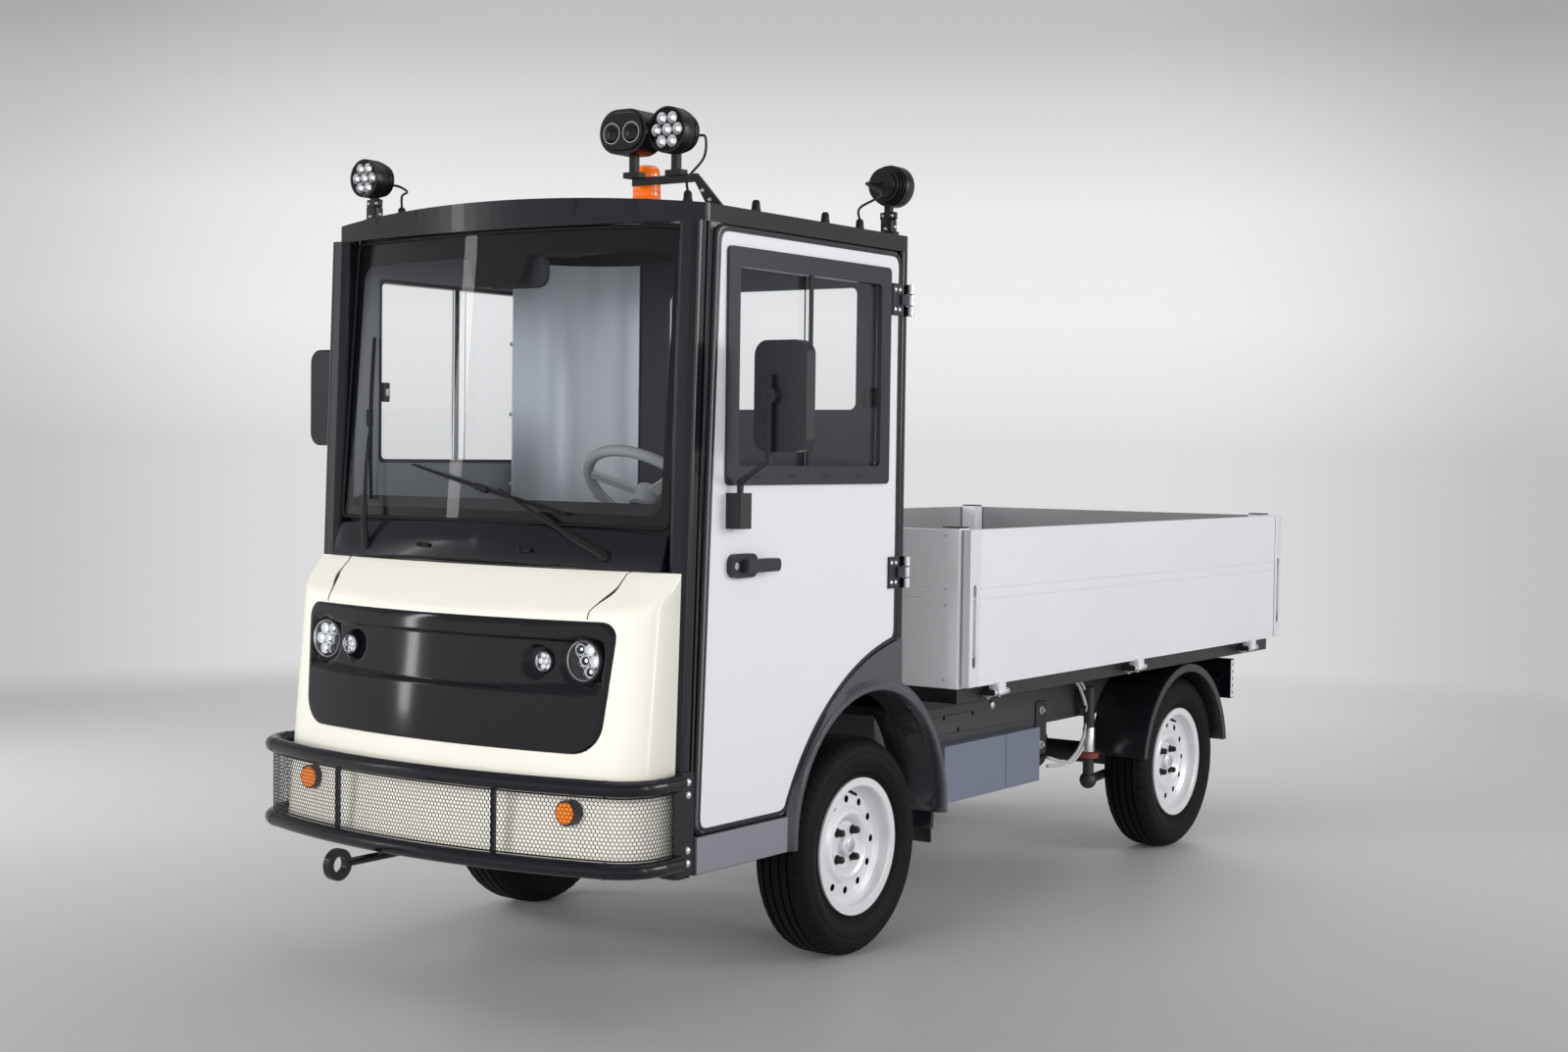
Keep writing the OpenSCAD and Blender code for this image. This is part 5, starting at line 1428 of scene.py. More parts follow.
@dataclass
class Doors:
    """Seals, window hardware, hinge bolts and handles of the two doors, with their mirrors."""

    shop: Workshop
    low: float = 0.424
    high: float = 1.853
    rear: float = 0.150
    arch: tuple[float, float, float] = (0.283, 0.140, 0.700)
    pane: tuple[float, float, float, float] = (-0.580, 0.048, 1.289, 1.765)
    hinge_z: tuple[float, ...] = (1.006, 1.731)

    def outline(self, grow: float) -> Outline:
        """The door's outline in Y and Z, grown a little.

        Args:
            grow: How far it grows.

        Returns:
            The outline.
        """
        def front(z: float) -> float:
            """The door's front edge at a height."""
            return LAYOUT.front_y - 0.7172 + math.tan(math.radians(2.4)) * (z - self.low) - grow

        y0, z0, r = LAYOUT.front_y + self.arch[0], self.arch[1], self.arch[2] - grow
        low, high, rear = self.low - grow, self.high + grow, LAYOUT.front_y + self.rear + grow
        start = math.atan2(low - z0, -math.sqrt(r * r - (low - z0) ** 2))
        stop = math.atan2(math.sqrt(r * r - (rear - y0) ** 2), rear - y0)
        arc = [(y0 + r * math.cos(start + (stop - start) * i / 24), z0 + r * math.sin(start + (stop - start) * i / 24))
               for i in range(25)]
        return fillet([(front(low), low), *arc, (rear, high), (front(high), high)], 0.03)

    def seal(self, sign: float) -> Shape:
        """The rubber tube in the gap round the door."""
        points = [(sign * (LAYOUT.cab_x - 0.010), y, z) for y, z in self.outline(0.0035)]
        return Shape().tube(points, 0.0044, 8, closed=True)

    def edge(self, sign: float) -> Shape:
        """The dark strip along the door's outer edge.

        Args:
            sign: One for the truck's left side and minus one for its right.

        Returns:
            The strip.
        """
        rings = []
        for grow, out in ((-0.0002, -0.004), (-0.0004, 0.0012), (-0.0024, 0.0022), (-0.0085, 0.0022), (-0.0095, 0.0)):
            rings.append([(sign * (LAYOUT.cab_x + out), y, z) for y, z in self.outline(grow)])
        return Shape().loft(rings if sign < 0 else [ring[::-1] for ring in rings], capped=False)

    def window_parts(self, sign: float) -> tuple[Shape, Shape]:
        """Dark slots, divider and catches, and pale catch plates.

        Args:
            sign: One for the truck's left side and minus one for its right.

        Returns:
            The dark parts and the pale ones.
        """
        dark, pale = Shape(), Shape()
        y0, y1, z0, z1 = self.pane
        middle = LAYOUT.front_y + (y0 + y1) / 2
        for share in (0.12, 0.36, 0.6, 0.84):
            y = LAYOUT.front_y + y0 + (y1 - y0) * share
            dark.pad((0.006, 0.034, 0.0008), facing((sign * (LAYOUT.cab_x + 0.0078), y, z0 - 0.026), LEFT * sign, 90.0),
                     0.003, 0.0003)
        dark.pad((0.016, z1 - z0, 0.0035), facing((sign * 0.6055, middle, (z0 + z1) / 2), LEFT * sign), 0.002, 0.0005)
        for y in (LAYOUT.front_y + y0 + 0.016, LAYOUT.front_y + y1 - 0.016):
            at = facing((sign * 0.5895, y, 1.47), LEFT * -sign)
            dark.pad((0.026, 0.052, 0.012), at, 0.003)
            pale.pad((0.012, 0.02, 0.004), at @ moved(0.0, 0.0, 0.0118), 0.002, 0.0006)
        return dark, pale

    def bolts(self, sign: float) -> Shape:
        """Round heads on the hinge leaves.

        Args:
            sign: One for the truck's left side and minus one for its right.

        Returns:
            The heads on both hinges.
        """
        shape = Shape()
        for z in self.hinge_z:
            for dy, dz in ((-0.034, -0.026), (-0.034, 0.026), (-0.013, -0.026), (-0.013, 0.026)):
                place = (sign * (LAYOUT.cab_x + 0.006), LAYOUT.front_y + self.rear + dy, z + dz)
                shape.dome_bolt(facing(place, LEFT * sign), 0.013, 0.004)
        return shape

    def sleeves(self, sign: float, spans: Sequence[tuple[float, float]]) -> Shape:
        """Bright sleeves round the hinge knuckles.

        Args:
            sign: The truck's side.
            spans: Lowest and highest point of each sleeve, from the hinge's middle.

        Returns:
            The sleeves of both hinges.
        """
        shape = Shape()
        for z in self.hinge_z:
            at = moved(sign * (LAYOUT.cab_x + 0.013), LAYOUT.cab_back - 0.009, z)
            for low, high in spans:
                shape.lathe([(0.009, low), (0.0095, low + 0.0006), (0.0095, high - 0.0006), (0.009, high)], at, 28)
        return shape

    def mirror_glass(self, sign: float) -> Shape:
        """The silvered plate on the back of a mirror head."""
        place = (sign * 0.755, LAYOUT.front_y - 0.597 + 0.0258, 1.455)
        return Shape().pad((0.136, 0.248, 0.0022), facing(place, BACKWARD), 0.032, 0.0006)

    def build(self) -> None:
        """Builds the doors' pieces."""
        for side, sign in SIDES.items():
            body = f"door_{side}"
            self.shop.pieces((
                (f"door_seal_{side}", self.seal(sign), Palette.RUBBER),
                (f"door_edge_{side}", self.edge(sign), Palette.TRIM),
            ), body)
            dark, pale = self.window_parts(sign)
            self.shop.piece(f"window_fittings_{side}", dark, Palette.RUBBER, body)
            for k in range(9):
                place = (sign * 0.5795, LAYOUT.front_y + 0.095, 0.98 + 0.1 * k)
                pale.dome_bolt(facing(place, LEFT * -sign), 0.01, 0.003)
            self.shop.pieces((
                (f"window_catches_{side}", pale, Palette.STEEL),
                (f"hinge_bolts_{side}", self.bolts(sign), Palette.STEEL),
                (f"hinge_sleeves_{side}", self.sleeves(sign, [(-0.0136, 0.0136)]), Palette.STEEL),
            ), body)
            fixed = self.sleeves(sign, [(-0.0416, -0.0164), (0.0164, 0.0416)])
            self.shop.piece(f"hinge_posts_{side}", fixed, Palette.STEEL)
            lock = Shape().lathe([(0.0, 0.0), (0.009, 0.0), (0.009, 0.003), (0.0075, 0.0045), (0.0, 0.0045)],
                                 facing((sign * (LAYOUT.cab_x + 0.016), LAYOUT.front_y - 0.596, 1.05), LEFT * sign), 24)
            self.shop.pieces((
                (f"door_lock_{side}", lock, Palette.STEEL),
                (f"mirror_glass_{side}", self.mirror_glass(sign), Palette.SILVERED),
            ), body)
        self.shop.paint(Palette.DOOR, "door_left", "door_right", soften=0.003)
        self.shop.paint(Palette.TRIM, "door_trim_left", "door_trim_right", soften=0.0015)
        self.shop.paint(Palette.MIRROR, "mirror_left", "mirror_right", soften=0.004)


@dataclass
class RoofGear:
    """Lenses, emitters, leads and glands of the roof lamps, and the beacon."""

    shop: Workshop
    beacon: tuple[float, float] = (0.300, -0.545)

    def lamps(self) -> list[tuple[Matrix, float]]:
        """Where the round lamps' lenses face, with their radii.

        Returns:
            A matrix and a radius for each lamp.
        """
        front, rear = LAYOUT.front_y, LAYOUT.front_y + 0.165
        return [
            (facing((-0.5, front - 0.690 - 0.034, LAYOUT.roof_at(0.5) + 0.112), FORWARD), 0.046),
            (facing((0.44, front - 0.607 - 0.034, 2.092), FORWARD), 0.0515),
            (facing((0.56, rear + 0.034, LAYOUT.roof_at(0.56) + 0.130), BACKWARD), 0.0506),
        ]

    def leads(self) -> tuple[Shape, Shape]:
        """Leads from the lamps to glands on the roof, and the glands.

        Returns:
            The leads and the glands.
        """
        leads, glands = Shape(), Shape()
        front = LAYOUT.front_y
        runs = (
            ((-0.47, front - 0.655, LAYOUT.roof_at(0.5) + 0.10), (-0.4, front - 0.69), 0.03),
            ((0.475, front - 0.57, 2.085), (0.54, front - 0.69), 0.03),
            ((0.56, front + 0.128, LAYOUT.roof_at(0.56) + 0.135), (0.575, front + 0.0), -0.06),
        )
        spots = [(0.592, front - 0.487), (0.592, front - 0.187)]
        for start, foot, swing in runs:
            end = Vector((foot[0], foot[1], LAYOUT.roof_at(foot[0]) + 0.026))
            begin = Vector(start)
            mid = begin.lerp(end, 0.5) + Vector((abs(swing) * 0.8, swing * 0.4, 0.012))
            leads.tube(smooth_path([begin, begin + Vector((swing * 0.5, 0.012 if swing > 0 else -0.03, -0.004)), mid,
                                    end + UP * 0.03, end - UP * 0.004]), 0.0032, 8)
            spots.append(foot)
        for x, y in spots:
            at = moved(x, y, LAYOUT.roof_at(x) - 0.002)
            glands.lathe([(0.0, 0.0), (0.013, 0.0), (0.013, 0.008), (0.0, 0.008)], at, 6)
            glands.lathe([(0.0, 0.008), (0.0105, 0.008), (0.0105, 0.014), (0.0095, 0.024), (0.006, 0.029),
                          (0.0, 0.029)], at, 20)
        return leads, glands

    def build(self) -> None:
        """Builds the roof gear."""
        optics, emitters, lenses, smoked = Shape(), Shape(), Shape(), Shape()
        for at, r in self.lamps():
            optics.lathe([(r * 0.99, 0.0005), (0.0, 0.0005)], at, 40)
            for x, y in rosette(0.62 * r):
                spot = at @ moved(x, y, 0.0006)
                optics.lathe([(r * 0.3, 0.0), (r * 0.29, 0.004), (r * 0.16, 0.0012), (0.0, 0.001)], spot, 20)
                emitters.lathe([(r * 0.11, 0.0012), (r * 0.1, 0.003), (0.0, 0.0038)], spot, 12)
            lenses.lathe([(r * 0.985, 0.0045), (r * 0.6, 0.0055), (0.0, 0.006), (0.0, 0.005), (r * 0.6, 0.0045),
                          (r * 0.985, 0.0035)], at, 40)
        oval = facing((0.318, LAYOUT.front_y - 0.617 - 0.046, 2.094), FORWARD)
        smoked.pad((0.128, 0.092, 0.005), oval @ moved(0.0, 0.0, 0.0002), 0.045, 0.002)
        for x in (-0.03, 0.03):
            spot = oval @ moved(x, -0.004, 0.0)
            smoked.lathe([(0.024, 0.0045), (0.0215, 0.0085), (0.014, 0.0125), (0.0, 0.0145)], spot, 28)
            optics.lathe([(0.0255, 0.0045), (0.0255, 0.0062), (0.0238, 0.0062), (0.0238, 0.0045)], spot, 28,
                         closed=True)
        self.shop.pieces((
            ("roof_lamp_optics", optics, Palette.CHROME),
            ("roof_lamp_emitters", emitters, Palette.LED),
            ("roof_lamp_lenses", lenses, Palette.LENS),
            ("oval_lamp_lens", smoked, Palette.PANEL),
        ))
        feet, bolts = Shape(), Shape()
        for x, y in ((-0.5, LAYOUT.front_y - 0.69), (0.56, LAYOUT.front_y + 0.165)):
            z = LAYOUT.roof_at(x)
            feet.pad((0.036, 0.03, 0.044), moved(x, y, z - 0.003), 0.005, 0.003)
            feet.pad((0.05, 0.012, 0.02), moved(x, y, z + 0.04), 0.003, 0.002)
            for dx, dy, dz, way in ((0.018, 0.0, 0.02, LEFT), (0.0, -0.015, 0.014, FORWARD),
                                    (-0.014, -0.006, 0.05, FORWARD), (0.014, -0.006, 0.05, FORWARD)):
                bolts.dome_bolt(facing((x + dx, y + dy, z + dz), way), 0.011, 0.005)
        for x in (0.428, 0.452, 0.306, 0.33):
            bolts.hex_bolt(facing((x, LAYOUT.front_y - 0.609, 1.9862), UP), 0.009, 0.006)
        for x, z in ((0.545, 1.922), (0.523, 1.945)):
            bolts.dome_bolt(facing((x, LAYOUT.front_y - 0.611, z), FORWARD), 0.012, 0.004)
        self.shop.pieces((
            ("lamp_feet", feet, Palette.LAMP_BODY),
            ("lamp_feet_bolts", bolts, Palette.STEEL),
        ))
        leads, glands = self.leads()
        self.shop.pieces((
            ("roof_lamp_leads", leads, Palette.RUBBER),
            ("roof_glands", glands, Palette.RUBBER),
        ))
        base = moved(self.beacon[0], LAYOUT.front_y + self.beacon[1], LAYOUT.roof_at(0.340) - 0.006)
        dome = Shape().lathe([(0.0385, 0.0205), (0.0362, 0.0225), (0.0362, 0.028), (0.0352, 0.03), (0.0347, 0.044),
                              (0.0353, 0.045), (0.0341, 0.06), (0.0347, 0.061), (0.0333, 0.078), (0.0338, 0.079),
                              (0.0322, 0.097), (0.0285, 0.1035), (0.021, 0.109), (0.0, 0.1098)], base, 48)
        self.shop.piece("beacon_dome", dome, Palette.BEACON)
        self.shop.paint(Palette.LAMP_BODY, "roof_lamps", soften=0.001)


@dataclass
class Bed:
    """Latches, rivets and caps of the load bed."""

    shop: Workshop
    half: float = 0.657
    cap_l: float = 0.052
    board_mid: float = 0.8915
    board_h: float = 0.441
    latch: tuple[float, float] = (0.724, 0.958)
    seam: float = 0.0268
    rivet_z: tuple[float, ...] = (0.69, 0.90, 0.945, 1.095)

    def latch_parts(self, at: Matrix, seam: float) -> tuple[Shape, Shape]:
        """A lever in its dark slot, with the foot below it and the seam beside the end piece.

        Args:
            at: The slot's middle on the board's face.
            seam: The seam's distance from the slot.

        Returns:
            The bright parts and the dark parts.
        """
        bright, dark = Shape(), Shape()
        bright.pad((0.0172, 0.2315, 0.0008), at @ moved(0.0, 0.0, -0.0119), 0.008, 0.0002)
        dark.pad((0.016, 0.026, 0.0006), at @ moved(0.0, 0.1015, -0.0111), 0.0079, 0.0002)
        bright.pad((0.0098, 0.15, 0.0085), at @ moved(0.0, 0.0, -0.0105), 0.0048, 0.002)
        bright.lathe([(0.0, -0.0105), (0.008, -0.0105), (0.008, -0.002), (0.0062, -0.0005), (0.0, -0.0005)],
                     at @ moved(0.0, 0.078, 0.0), 20)
        dark.pad((0.0018, 0.437, 0.0006), at @ moved(seam, 0.0505, 0.0), 0.0006, 0.0001)
        dark.pad((0.0135, 0.024, 0.0095), at @ moved(0.0, -0.1, -0.0115), 0.002, 0.001)
        return bright, dark

    def end_plate(self, at: Matrix) -> Shape:
        """A thin end piece on a board's face, open over the latch.

        Args:
            at: The slot's middle on the board's face.

        Returns:
            The end piece.
        """
        slot_h = self.latch[1] - self.latch[0]
        rise = self.board_mid - (self.latch[0] + self.latch[1]) / 2
        outer = [(x, y + rise) for x, y in rounded_rect(self.cap_l - 0.001, self.board_h - 0.002, 0.003)]
        close = [(x, y + rise) for x, y in rounded_rect(self.cap_l - 0.003, self.board_h - 0.004, 0.002)]
        slot = rounded_rect(0.0175, slot_h - 0.0005, 0.0085)
        rings = [[(x, y, z) for x, y in ring] for ring, z in (
            (outer, 0.0), (outer, 0.0014), (close, 0.0022), (slot, 0.0022), (slot, -0.011))]
        return Shape().loft(rings, at, capped=False)

    def board_parts(self, ends: Iterable[tuple[Matrix, float]]) -> tuple[Shape, Shape, Shape]:
        """What both ends of a board carry.

        Args:
            ends: The slot's middle and the seam's distance at each end.

        Returns:
            The bright parts, the dark parts and the end pieces.
        """
        parts = Shape(), Shape(), Shape()
        for at, seam in ends:
            for target, made in zip(parts, (*self.latch_parts(at, seam), self.end_plate(at))):
                target.join(made)
        return parts

    def post_caps(self) -> Shape:
        """Dark caps on the four posts.

        Returns:
            The caps.
        """
        shape = Shape()
        for sign in SIDES.values():
            for y in (LAYOUT.bed_start + 0.0285, LAYOUT.bed_end - 0.042 - 0.0285):
                shape.pad((0.0575, 0.0555, 0.0042), moved(sign * 0.5985, y, 1.1158), 0.004, 0.0012)
        return shape

    def hinge_collars(self) -> Shape:
        """Galvanised sleeves on the fixed hinge leaves, each with a bolt.

        Returns:
            The sleeves with their bolts.
        """
        shape = Shape()
        for sign in SIDES.values():
            for y in (LAYOUT.bed_start + 0.18, (LAYOUT.bed_start + LAYOUT.bed_end - 0.095) / 2, LAYOUT.bed_end - 0.267):
                for shift in (-0.032, 0.032):
                    at = facing((sign * 0.664, y + shift - 0.0108, 0.648), BACKWARD)
                    shape.lathe([(0.0092, 0.0), (0.0098, 0.001), (0.0098, 0.0206), (0.0092, 0.0216)], at, 24)
                    shape.pad((0.021, 0.028, 0.004), facing((sign * 0.644, y + shift, 0.6392), -UP, 90.0), 0.003, 0.001)
                    shape.hex_bolt(facing((sign * 0.643, y + shift, 0.6352), -UP), 0.011, 0.007)
        return shape

    def build(self) -> None:
        """Builds the bed's pieces."""
        self.shop.pieces((
            ("post_caps", self.post_caps(), Palette.RUBBER),
            ("hinge_collars", self.hinge_collars(), Palette.ZINC),
        ))
        middle_z = (self.latch[0] + self.latch[1]) / 2
        for side, sign in SIDES.items():
            out = Matrix(((0, 0, sign, 0), (sign, 0, 0, 0), (0, 1, 0, 0), (0, 0, 0, 1)))
            bright, dark, plates = self.board_parts(
                (moved(sign * self.half, y, middle_z) @ out, sign * seam)
                for y, seam in ((LAYOUT.bed_start + 0.011 + self.cap_l / 2, self.seam),
                                (LAYOUT.bed_end - self.cap_l / 2, -self.seam)))
            rivets = Shape()
            for y in (LAYOUT.bed_start + 0.011 + self.cap_l + 0.008, LAYOUT.bed_end - self.cap_l - 0.008):
                for z in self.rivet_z:
                    rivets.dome_bolt(facing((sign * self.half, y, z), LEFT * sign), 0.006, 0.0016)
            body = f"side_board_{side}"
            self.shop.pieces((
                (f"board_ends_{side}", plates, Palette.ALLOY_ACROSS),
                (f"latch_levers_{side}", bright, Palette.STEEL),
                (f"latch_catches_{side}", dark, Palette.RUBBER),
                (f"board_rivets_{side}", rivets, Palette.ZINC),
            ), body)
        out = Matrix(((-1, 0, 0, 0), (0, 0, 1, 0), (0, 1, 0, 0), (0, 0, 0, 1)))
        bright, dark, plates = self.board_parts(
            (moved(sign * 0.601, LAYOUT.bed_end - 0.012, middle_z) @ out, sign * self.seam)
            for sign in (-1.0, 1.0))
        self.shop.pieces((
            ("board_ends_gate", plates, Palette.ALLOY_ALONG),
            ("latch_levers_gate", bright, Palette.STEEL),
            ("latch_catches_gate", dark, Palette.RUBBER),
        ), "tailgate")
        rivets = Shape()
        for sign in SIDES.values():
            for z in self.rivet_z:
                rivets.dome_bolt(facing((sign * 0.584, LAYOUT.bed_start, z), FORWARD), 0.007, 0.002)
        self.shop.piece("headboard_rivets", rivets, Palette.ZINC)
        self.shop.paint(Palette.ALLOY_ALONG, "side_board_left", "side_board_right", "bed_floor", soften=0.0025)
        self.shop.paint(Palette.ALLOY_GATE, "tailgate", soften=0.0025)
        # The headboard and corner posts get the paler anodised copy: painted light on faces in the cab's shadow.
        self.shop.paint(Palette.ALLOY_HEAD, "headboard", soften=0.0025)
        self.shop.paint(Palette.ALLOY_PAINTED_LIGHT, "corner_posts", soften=0.0025)
        self.shop.paint(Palette.FRAME_BLACK, "bed_frame", soften=0.0015)


@dataclass
class Chassis:
    """Bolts, hoses, brackets and strut seats under the truck."""

    shop: Workshop

    def build(self) -> None:
        """Builds the chassis pieces."""
        bolts, hoses, plates = Shape(), Shape(), Shape()
        front = LAYOUT.front_y
        for sign in SIDES.values():
            for y, z, x in ((front + 0.43, 0.55, 0.4242), (front + 0.5, 0.492, 0.4242), (front + 1.02, 0.556, 0.42)):
                bolts.dome_bolt(facing((sign * x, y, z), LEFT * sign), 0.03, 0.009)
            y = front + 1.335
            plates.pad((0.07, 0.17, 0.005), facing((sign * 0.4205, y, 0.455), LEFT * sign), 0.012)
            for z in (0.40, 0.51):
                bolts.hex_bolt(facing((sign * 0.4255, y, z), LEFT * sign), 0.016, 0.01)
            for shift in (0.0, 0.028):
                start = Vector((sign * 0.44, front + 1.50 + shift, 0.61))
                path = [start, start + Vector((sign * 0.012, 0.05, -0.05)), start + Vector((sign * 0.02, 0.085, -0.14)),
                        start + Vector((sign * 0.012, 0.055, -0.235)), start + Vector((0.0, -0.02, -0.285)),
                        Vector((sign * 0.425, front + 1.38, 0.325 + shift))]
                hoses.tube(smooth_path(path), 0.0055, 10)
        sleeves, seats, joints, skins = Shape(), Shape(), Shape(), Shape()
        for sign in SIDES.values():
            foot = moved(sign * 0.462, LAYOUT.rear_y - 0.39, 0.0)
            sleeves.lathe([(0.0182, 0.352), (0.0205, 0.354), (0.0205, 0.43), (0.0182, 0.434)], foot, 24)
            seats.lathe([(0.02, 0.3335), (0.0335, 0.3335), (0.0335, 0.3485), (0.028, 0.3515), (0.02, 0.352)], foot, 28)
            joint = facing((sign * 0.4202, front + 0.47, 0.52), LEFT * sign, 90.0)
            joints.pad((0.12, 0.098, 0.004), joint, 0.006, 0.001)
            # The sill skins carry the lightened wing grey, partly painted reflection of the lit floor.
            sill = facing((sign * 0.6077, front - 0.5305, 0.3705), LEFT * sign, 90.0)
            skins.pad((0.088, 0.374, 0.0035), sill, 0.004, 0.0012)
        self.shop.pieces((
            ("sill_painted_reflection", skins, Palette.SILL_PAINTED_LIGHT),
            ("strut_sleeves", sleeves, Palette.STEEL),
            ("strut_seats", seats, Palette.BURNT),
            ("rail_joint_plates", joints, Palette.FRAME),
            ("chassis_bolts", bolts, Palette.ZINC),
            ("brake_hoses", hoses, Palette.HOSE),
            ("hose_brackets", plates, Palette.AXLE),
        ))
        self.shop.paint(Palette.FRAME, "chassis_rails", "crossmembers", "tow_coupling", soften=0.0015)
        self.shop.paint(Palette.AXLE, "front_axle", "rear_axle", "springs", "knuckle_left", "knuckle_right", "tie_rod")
        self.shop.paint(Palette.BATTERY, "battery_box", soften=0.003)
        self.shop.paint(Palette.GUARD, "mudguards", soften=0.004)
        self.shop.paint(Palette.WING, "front_wings", soften=0.003)


@dataclass
class TailLamps:
    """Lens blocks on the lamp board under the bed's end."""

    shop: Workshop
    board_y: float = LAYOUT.bed_end - 0.298

    def build(self) -> None:
        """Builds the tail lamps."""
        red, amber, clear, marker, strips, holes = (Shape() for _ in range(6))
        for sign in SIDES.values():
            for target, x, width in ((red, 0.455, 0.078), (amber, 0.524, 0.05), (clear, 0.556, 0.012)):
                at = facing((sign * x, self.board_y + 0.0622, 0.5325), BACKWARD)
                target.pad((width, 0.098, 0.006), at, 0.006, 0.002)
            at = facing((sign * 0.535, self.board_y, 0.545), FORWARD)
            marker.pad((0.07, 0.032, 0.014), at, 0.014, 0.005)
            end = facing((sign * 0.6, self.board_y + 0.015, 0.535), LEFT * sign)
            strips.pad((0.026, 0.132, 0.002), end, 0.003, 0.0006)
            for k in range(5):
                at = facing((sign * 0.6021, self.board_y + 0.015, 0.485 + 0.025 * k), LEFT * sign)
                holes.lathe([(0.0, 0.0), (0.0045, 0.0), (0.0045, 0.0004), (0.0, 0.0004)], at, 16)
        self.shop.pieces((
            ("marker_lamps", marker, Palette.LENS),
            ("board_end_strips", strips, Palette.RIM),
            ("board_end_holes", holes, Palette.RUBBER),
            ("tail_lens_red", red, Palette.RED),
            ("tail_lens_amber", amber, Palette.AMBER),
            ("tail_lens_clear", clear, Palette.LENS),
        ))
        self.shop.paint(Palette.CAB_BLACK, "tail_lamps", soften=0.002)


@dataclass
class Seat:
    """Driver's cushion and back rest."""

    shop: Workshop
    x: float = 0.300
    width: float = 0.46
    swell: float = 0.012

    def cushion(self, name: str, size: Point, at: Matrix) -> bpy.types.Object:
        """Makes one stuffed cushion by letting cloth swell out of a block.

        Args:
            name: The piece's name.
            size: Its width, depth and thickness.
            at: Where it lies.

        Returns:
            The cushion.
        """
        shape = Shape().pad(size, at, 0.055, 0.02)
        piece = self.shop.piece(name, shape, Palette.VINYL, smooth=80.0)
        mesh = piece.modifiers.new("even_mesh", "REMESH")
        mesh.mode = "VOXEL"
        mesh.voxel_size = 0.009
        self.apply(piece)
        start = [v.co.copy() for v in piece.data.vertices]
        cloth = piece.modifiers.new("stuffing", "CLOTH")
        cloth.settings.use_pressure = True
        cloth.settings.uniform_pressure_force = 4.0
        cloth.settings.effector_weights.gravity = 0.0
        scene = bpy.context.scene
        for frame in range(1, 16):
            scene.frame_set(frame)
        self.apply(piece)
        scene.frame_set(1)
        for vertex, rest in zip(piece.data.vertices, start):
            move = vertex.co - rest
            if move.length > self.swell:
                vertex.co = rest + move.normalized() * self.swell
        piece.data.polygons.foreach_set("use_smooth", [True] * len(piece.data.polygons))
        piece.modifiers.new("fine_skin", "SUBSURF").levels = 1
        return piece

    @staticmethod
    def apply(piece: bpy.types.Object) -> None:
        """Applies a piece's modifiers to its mesh.

        Args:
            piece: The piece.
        """
        view = bpy.context.evaluated_depsgraph_get()
        mesh = bpy.data.meshes.new_from_object(piece.evaluated_get(view))
        old = piece.data
        piece.modifiers.clear()
        piece.data = mesh
        bpy.data.meshes.remove(old)

    def build(self) -> None:
        """Builds the seat."""
        back = LAYOUT.cab_back
        cushion = self.cushion("seat_cushion", (self.width - 0.03, 0.44, 0.115),
                               facing((self.x, back - 0.29, 0.765), UP))
        self.cushion("seat_back", (self.width - 0.03, 0.46, 0.085),
                     facing((self.x, back - 0.062, 1.075), (0.0, -1.0, 0.14)))
        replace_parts(cushion, "seat")
        rails = Shape()
        for x in (-0.15, 0.15):
            rails.pad((0.04, 0.4, 0.034), facing((self.x + x, back - 0.29, 0.7305), UP), 0.006, 0.002)
        self.shop.piece("seat_rails", rails, Palette.FRAME)
        hinge = Shape()
        for x in (-0.2, 0.2):
            hinge.pad((0.014, 0.06, 0.16), facing((self.x + x, back - 0.085, 0.765), UP), 0.005, 0.002)
        self.shop.piece("seat_hinges", hinge, Palette.FRAME)


